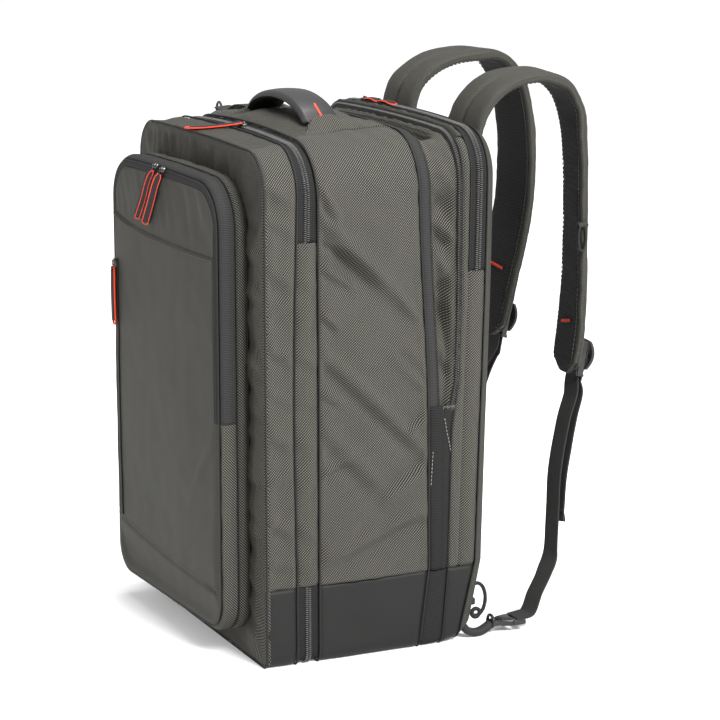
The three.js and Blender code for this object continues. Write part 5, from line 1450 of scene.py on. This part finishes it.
def shoulder_pad(name, strap, seed):
    outer, inner = pad_columns()
    a = np.concatenate((outer, inner))
    sides = np.concatenate((np.ones(len(outer)), -np.ones(len(inner))))
    heights = np.concatenate((pad_height(outer, True), pad_height(inner, False))) * sides
    n, m = len(strap.spots), len(a)
    run = np.concatenate(([0], np.linalg.norm(np.diff(strap.spots, axis=0), axis=1).cumsum()))
    bend = np.gradient(strap.ahead, axis=0)
    curl = np.clip(-(bend * strap.up).sum(axis=1) / np.gradient(run), 0, 60) * 0.012
    left = run[-1] - run
    nose = np.sqrt(np.clip(1 - (1 - np.clip(left / 0.016, 0, 1)) ** 2, 0, 1))
    shrink, slim = 0.35 + 0.65 * nose, 0.45 + 0.55 * nose
    across = a[None] * (strap.width * shrink)[:, None] / 2
    flat = np.stack(np.broadcast_arrays(run[:, None], across, sides[None] * 0.3 + 0 * run[:, None]), axis=-1)
    from_edge = (1 - np.abs(a))[None] * (strap.width * shrink)[:, None] / 2
    seams = np.exp(-from_edge / 0.006) + np.where(sides > 0, np.exp(-np.abs(across) / 0.005), 0)
    pucker = 0.0007 * ripple(flat, 0.007, seed) * seams
    pucker = pucker + 0.0009 * ripple(flat * (1, 0.45, 1), 0.024, seed + 1)
    inside = np.where(sides < 0, 1.0, 0.0)[None] * curl[:, None]
    creases_in = inside * 0.0024 * ripple(flat * (1, 0.25, 1), 0.008, seed + 2) * ease(from_edge / 0.01)
    plump = heights[None] * (strap.thick * slim)[:, None] / 2
    height = plump + sides[None] * (pucker + creases_in) * slim[:, None]
    sway = 0.0007 * ripple(np.stack((run, 0 * run, 0 * run), axis=-1), 0.05, seed + 3)[:, None]
    points = (strap.spots[:, None] + strap.side[:, None] * (across + sway)[..., None]
              + strap.up[:, None] * height[..., None]) * strap.sign
    faces, kinds = [], []
    under = (sides < 0) & ((1 - np.abs(a)) * HALF_PAD > MESH_SEAM - 0.0002)
    for i in range(n - 1):
        for j in range(m):
            k = (j + 1) % m
            faces.append((i * m + j, i * m + k, (i + 1) * m + k, (i + 1) * m + j))
            kinds.append(int(under[j] and under[k]))
    faces += [tuple(range(m))[::-1], tuple((n - 1) * m + j for j in range(m))]
    kinds += [0, 0]
    if strap.sign[0] < 0:
        faces = [face[::-1] for face in faces]
    mesh = bpy.data.meshes.new(name)
    mesh.from_pydata(points.reshape(-1, 3).tolist(), [], faces)
    corner = np.empty(len(mesh.loops), dtype=int)
    mesh.loops.foreach_get("vertex_index", corner)
    layer = mesh.uv_layers.new(name="weave")
    layer.data.foreach_set("uv", np.stack((run[corner // m], across.ravel()[corner]), axis=1).ravel())
    mesh.materials.append(smooth)
    mesh.materials.append(mesh_cloth)
    mesh.polygons.foreach_set("material_index", kinds)
    mesh.polygons.foreach_set("use_smooth", [True] * len(mesh.polygons))
    piece = bpy.data.objects.new(name, mesh)
    bpy.context.collection.objects.link(piece)
    only(piece)
    bpy.ops.object.mode_set(mode="EDIT")
    bpy.ops.mesh.select_all(action="SELECT")
    bpy.ops.mesh.normals_make_consistent(inside=False)
    bpy.ops.object.mode_set(mode="OBJECT")
    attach(piece, "root")
    return piece


STRAPS = {"right": Strap(PAD_NEAR, 1), "left": Strap(PAD_FAR, -1)}
for side, strap in STRAPS.items():
    pad = shoulder_pad(f"shoulder_pad_{side}_cloth", strap, 71 if side == "right" else 81)
    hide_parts(f"shoulder_pad_{side}")
    body = slice(6, -8)
    for edge, sign in (("a", 1), ("b", -1)):
        seam = (strap.spots + strap.side * sign * (strap.width[:, None] / 2 - MESH_SEAM)
                - strap.up * strap.thick[:, None] * 0.46)[body] * strap.sign
        line = stitches(f"shoulder_pad_{side}_stitches_{edge}", seam, thread_dark, 0.0034, 0.0012, 0.00045)
        rim = (strap.spots + strap.side * sign * (strap.width[:, None] / 2 - 0.0008)
               + strap.up * strap.thick[:, None] * 0.12)[body] * strap.sign
        rod(f"shoulder_pad_{side}_edge_{edge}", rim, 0.0011, smooth)

# Bar tacks: a short row of dense orange thread on the underside of each pad, on a dark backing.
tack_thread = Finish("tack_thread", 0.7)
rows = tack_thread.grain(0.0006, 1)
tack_colour = tack_thread.blend(rows, (0.50, 0.030, 0.012), (0.80, 0.070, 0.028))
tack_thread = tack_thread.done(tack_colour, rows, 0.0002, 0.6)
for side, strap in STRAPS.items():
    share, tilt = (0.848, -0.19) if side == "right" else (0.818, -0.12)
    spot, ahead, across, up, width, thick = strap.at(share)
    length = math.hypot(1, tilt)
    across, ahead = (across + tilt * ahead) / length, (ahead - tilt * across) / length
    parts = [block("backing", (0.0290, 0.0050, 0.0007), 0.0003)]
    for k in range(22):
        stitch = block("stitch", (0.0009, 0.0026, 0.0009), 0.0003, (-0.0124 + k * 0.00118, 0, 0.0006),
                       segments=1)
        parts.append(stitch)
    for part in parts:
        part.data.materials.append(piping_dark)
        part.data.materials.append(tack_thread)
    for part in parts[1:]:
        part.data.polygons.foreach_set("material_index", [1] * len(part.data.polygons))
    tack = joined(parts, f"bar_tack_{side}")
    origin = spot - up * (thick / 2 + 0.0004)
    settle(tack, origin, -across, ahead, -up)
    if strap.sign[0] < 0:
        tack.data.transform(Matrix.Diagonal((-1, 1, 1, 1)))
        tack.data.flip_normals()
    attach(tack, "root")
    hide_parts(f"pad_tack_{side}")

# Ladder locks: moulded black buckles on the outer face of the pads' ends, with two rails, three bars
# that the webbing threads through, an arched plate over them, and a lifted lip to loosen it.
plastic = moulded("hardware_plastic", (0.011, 0.011, 0.0112), (0.026, 0.026, 0.0265), 0.36)
LOCK_AT, LOCK_TALL, LOCK_THICK = 0.93, 0.037, 0.009


def place_on(piece, frame, sign):
    """Sets a piece made in x across, y along, z outwards, in a strap's frame."""
    origin, across, ahead, up = frame
    settle(piece, origin, across, ahead, up)
    if sign[0] < 0:
        piece.data.transform(Matrix.Diagonal((-1, 1, 1, 1)))
        piece.data.flip_normals()
    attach(piece, "root")


locks = {}
for side, strap in STRAPS.items():
    spot, ahead, across, up, width, thick = strap.at(LOCK_AT)
    centre = spot + up * (thick / 2 + 0.0003 + LOCK_THICK / 2)
    locks[side] = (centre, ahead, across, up)
    parts = [
        block("rail", (0.0034, LOCK_TALL - 0.001, 0.0066), 0.0013, (x, 0, 0), segments=3)
        for x in (-0.0147, 0.0147)
    ]
    parts.append(block("top_bar", (0.032, 0.0046, 0.0040), 0.0014, (0, -0.0150, -0.0008), segments=3))
    parts.append(block("mid_bar", (0.030, 0.0050, 0.0030), 0.0011, (0, -0.0040, 0.0012), segments=3))
    parts.append(block("low_bar", (0.030, 0.0044, 0.0034), 0.0012, (0, 0.0075, -0.0010), segments=3))
    lip = block("lip", (0.0326, 0.0078, 0.0026), 0.0011, segments=3)
    lip.data.transform(Matrix.Rotation(math.radians(24), 4, "X"))
    lip.data.transform(Matrix.Translation((0, 0.0148, 0.0022)))
    parts.append(lip)
    plate = block("plate", (0.0326, 0.0300, 0.0036), 0.0014, (0, -0.004, 0), segments=4)
    only(plate)
    bpy.ops.object.mode_set(mode="EDIT")
    bpy.ops.mesh.select_all(action="SELECT")
    for y in np.linspace(-0.0165, 0.0085, 9):
        bpy.ops.mesh.select_all(action="SELECT")
        bpy.ops.mesh.bisect(plane_co=(0, y, 0), plane_no=(0, 1, 0))
    bpy.ops.object.mode_set(mode="OBJECT")
    for corner in plate.data.vertices:
        corner.co.z += 0.0052 + 0.0058 * (1 - ((corner.co.y + 0.004) / 0.015) ** 2)
    parts.append(plate)
    lock = joined(parts, f"ladder_lock_{side}_body")
    lock.data.materials.append(plastic)
    place_on(lock, (centre, across, ahead, up), strap.sign)
    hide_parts(f"ladder_lock_{side}")

# Webbing: flat black polyester tape with ribs and slightly notched edges. It runs from each ladder
# lock down to the hook, and its free tail hangs behind it with a folded end.
WEB_WIDTH, WEB_THICK = 0.025, 0.0018
HOOK_X, HOOK_Y, HOOK_Z, HOOK_WIDE = 0.144, 0.152, 0.0095, 0.026
WEB_RUN = ((5, -6, -17), (9, -15, -38), (14, -25, -70), (21, -33, -98), (28, -38, -125), (34, -42, -148),
           (40, -47, -172))
WEB_TAIL = ((5, 0, -17), (9, -7.5, -38), (14, -17, -70), (21, -26, -100), (27, -31.5, -130), (29, -33, -142))
FOOT_RUN = ((127, 205, 47), (134, 191, 30), (142, 178, 14), (142, 170.6, 12), (142, 162, 11))


def webbing_finish():
    finish = Finish("webbing_cloth", 0.75)
    along, wide = finish.uv()
    rib = (wide * (1 / 0.0021)).wave()
    pick = (along * (1 / 0.0012) + rib * 0.5).wave()
    height = rib * 0.5 + pick * 0.5
    colour = finish.blend(height, (0.0075, 0.0075, 0.0072), (0.030, 0.030, 0.029))
    return finish.done(colour, height, 0.0003, 0.7)


web = webbing_finish()


def web_strip(name, points, width, thick, sign, across=(1, 0, 0), notch=0.00018, square=0.25):
    run = np.linalg.norm(np.diff(np.asarray(points), axis=0), axis=1).sum()
    count = math.ceil(run / 0.0007)
    spots, ahead, side, up = course(points, count, across)
    wide = width * np.ones(count) + notch * np.sin(np.linspace(0, run / 0.0017 * 2 * math.pi, count))
    sag = 0.00035 * ripple(spots, 0.02, 91)
    spots = spots + up * sag[:, None]
    return sleeve(name, spots * sign, side * sign, up * sign, rounded(14, square), web, wide, thick)


for side, strap in STRAPS.items():
    centre, ahead, across, up = locks[side]
    foot = centre + ahead * (LOCK_TALL / 2 + 0.0003)
    start = foot - up * WEB_THICK
    run = [centre - ahead * 0.008 + up * 0.0036, centre - ahead * 0.0035 + up * 0.0042,
           centre + ahead * 0.0022 + up * 0.001,
           centre + ahead * 0.009 - up * 0.0036, start, start + ahead * 0.007]
    run += [foot + np.array(k) / 1000 for k in WEB_RUN] + [np.array(k) / 1000 for k in FOOT_RUN]
    strip = web_strip(f"webbing_{side}", run, WEB_WIDTH, WEB_THICK, strap.sign)
    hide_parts(f"strap_webbing_{side}")
    start = foot + up * WEB_THICK
    run = [centre - ahead * 0.0075 + up * 0.0012, centre + ahead * 0.0005 + up * 0.0045,
           centre + ahead * 0.0080 + up * 0.0030, start,
           start + ahead * 0.007]
    run += [foot + np.array(k) / 1000 for k in WEB_TAIL]
    tail = web_strip(f"webbing_end_{side}", run, WEB_WIDTH, WEB_THICK, strap.sign)
    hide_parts(f"webbing_tail_{side}")
    hem = [run[-1] + np.array(k) / 1000 for k in ((-1.0, 0.7, 13), (-0.5, 1.9, 6), (0, 2.1, 0.5))]
    fold = web_strip(f"webbing_hem_{side}", hem, WEB_WIDTH - 0.0006, WEB_THICK, strap.sign)
    keeper = strap.at(0.885)
    base = [keeper[0] + keeper[3] * (keeper[5] / 2 + 0.0004) + keeper[1] * d for d in (-0.012, 0.0, 0.010)]
    base += [centre - ahead * 0.0150 + up * 0.0022, centre - ahead * 0.0182 - up * 0.0005,
             centre - ahead * 0.0155 - up * 0.0034]
    loop = web_strip(f"lock_loop_{side}", base, WEB_WIDTH, 0.0016, strap.sign)

# Hooks at the foot of the webbing: moulded black bodies that narrow to a hooked nose with a small
# metal gate. Each holds a thick ribbed loop that comes out of the bag's back seam.


def wire_ring(name, centre, a, b, axis_a, axis_b, radius, finish):
    """A closed ring of wire that reaches a along one axis and b along the other."""
    angle = np.linspace(0, 2 * math.pi, 49)[:-1]
    points = (np.asarray(centre) + np.outer(np.cos(angle), np.asarray(axis_a) * a)
              + np.outer(np.sin(angle), np.asarray(axis_b) * b))
    return rod(name, points, radius, finish, closed=True)


for side, strap in STRAPS.items():
    sign = strap.sign
    parts = [block("body", (0.0205, 0.0150, 0.0066), 0.0020, (0, -0.001, 0), segments=3)]
    for corner in parts[0].data.vertices:
        corner.co.x *= 1 + 0.24 * max(-1, corner.co.y / 0.0075)
    parts.append(block("rear_bar", (HOOK_WIDE, 0.0050, 0.0052), 0.0018, (0, 0.0150, 0), segments=3))
    parts += [block("rail", (0.0030, 0.0120, 0.0052), 0.0012, (x, 0.0095, 0), segments=3)
              for x in (-0.0113, 0.0113)]
    parts.append(block("nose", (0.0062, 0.0130, 0.0050), 0.0018, (0.0052, -0.0112, 0), segments=3))
    parts.append(block("tip", (0.0150, 0.0044, 0.0050), 0.0016, (0, -0.0158, 0), segments=3))
    parts.append(block("ridge", (0.0120, 0.0100, 0.0014), 0.0006, (0, -0.001, 0.0034), segments=2))
    hook = joined(parts, f"hook_{side}")
    hook.data.materials.append(plastic)
    hook.data.transform(Matrix.Translation((HOOK_X, HOOK_Y, HOOK_Z)))
    if sign[0] < 0:
        hook.data.transform(Matrix.Diagonal((-1, 1, 1, 1)))
        hook.data.flip_normals()
    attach(hook, "root")
    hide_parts(f"strap_hook_{side}")
    gate = np.array(((-0.0052, -0.0155, 0.0010), (-0.0050, -0.0105, 0.0016), (-0.0040, -0.0070, 0.0010)))
    gate = (gate + (HOOK_X, HOOK_Y, HOOK_Z)) * sign
    rod(f"hook_gate_{side}", gate, 0.0011, metal)
    loop = np.array(((149, 103, 12), (150, 107, 7.5), (150, 114, 4.6), (149, 122, 4.4), (147, 129, 6.4),
                     (146, 134, 8.4), (145, 138.6, 9.6))) / 1000
    strip = web_strip(f"foot_cord_{side}", loop, 0.0110, 0.0078, sign, notch=0.0007, square=0.8)
    nose = wire_ring(f"hook_nose_{side}", np.array((0.1455, 0.1355, 0.0115)) * sign, 0.0066, 0.0062,
                     (1, 0, 0), (0, 0, 1), 0.0016, plastic)
    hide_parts(f"foot_loop_{side}")

    # cord ring above it, with its tab and a small knotted loop
    ring = wire_ring(f"cord_ring_{side}", np.array((0.148, 0.1180, 0.037)) * sign, 0.0098, 0.0165,
                     (0, 1, 0), (0, 0, 1), 0.0019, piping_dark)
    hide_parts(f"side_ring_{side}")
    tab = block(f"cord_tab_{side}", (0.0120, 0.0046, 0.0070), 0.0012, (0.148, 0.1118, 0.037), finish=web)
    tab.data.transform(Matrix.Diagonal((sign[0], 1, 1, 1)))
    if sign[0] < 0:
        tab.data.flip_normals()
    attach(tab, "root")
    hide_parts(f"ring_tab_{side}")
    eyelet = wire_ring(f"eyelet_{side}", np.array((0.1486, 0.1170, 0.0235)) * sign, 0.0042, 0.0042,
                       (0, 1, 0), (0, 0, 1), 0.0021, piping_dark)

# Ring of cord at the edge of the near pad, held by a small webbing loop. At the top's far end a flat
# webbing tab, sewn down on the cloth, holds a moulded ring.
spot, ahead, across, up, width, thick = STRAPS["right"].at(0.706)
middle = spot + across * (width / 2 + 0.0013 + 0.0003) + np.array((0, -0.00338, 0))
ring = wire_ring("pad_ring_wire", middle, 0.0042, 0.0138, (0, 1, 0), (0, 0, 1), 0.0015, piping_dark)
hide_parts("pad_ring")
HOLDER_RUN = ((-0.0030, 0.0, 0.0118), (0.0012, -0.0010, 0.0148), (0.0020, 0.0, 0.0128),
              (0.0008, 0.001, 0.0108), (-0.0030, 0.0008, 0.0100))
holder = [middle + np.array(k) for k in HOLDER_RUN]
web_strip("pad_ring_loop", holder, 0.0100, 0.0012, np.ones(3), across=(0, 1, 0))
TAB_END = np.array((-0.938 * HALF_WIDTH, -0.024, HEIGHT - 0.004))
TAB_RUN = ((-0.56, 0.42, 0.0035), (-0.6, 0.40, 0.0060), (-0.7, 0.36, 0.0075), (-0.8, 0.33, 0.0080))
route = [top_point("zipB", "tapeA", t, x * HALF_WIDTH, lift) for x, t, lift in TAB_RUN] + [TAB_END]
tab = web_strip("top_tab_webbing", route, 0.020, 0.002, np.ones(3), across=(0, 1, 0))
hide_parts("top_tab")
ring = wire_ring("top_ring_wire", TAB_END + (-0.0075, -0.0003, -0.003), 0.0065, 0.007, (1, 0, 0), (0, 0, 1),
                 0.0013, plastic)
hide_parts("tab_ring")
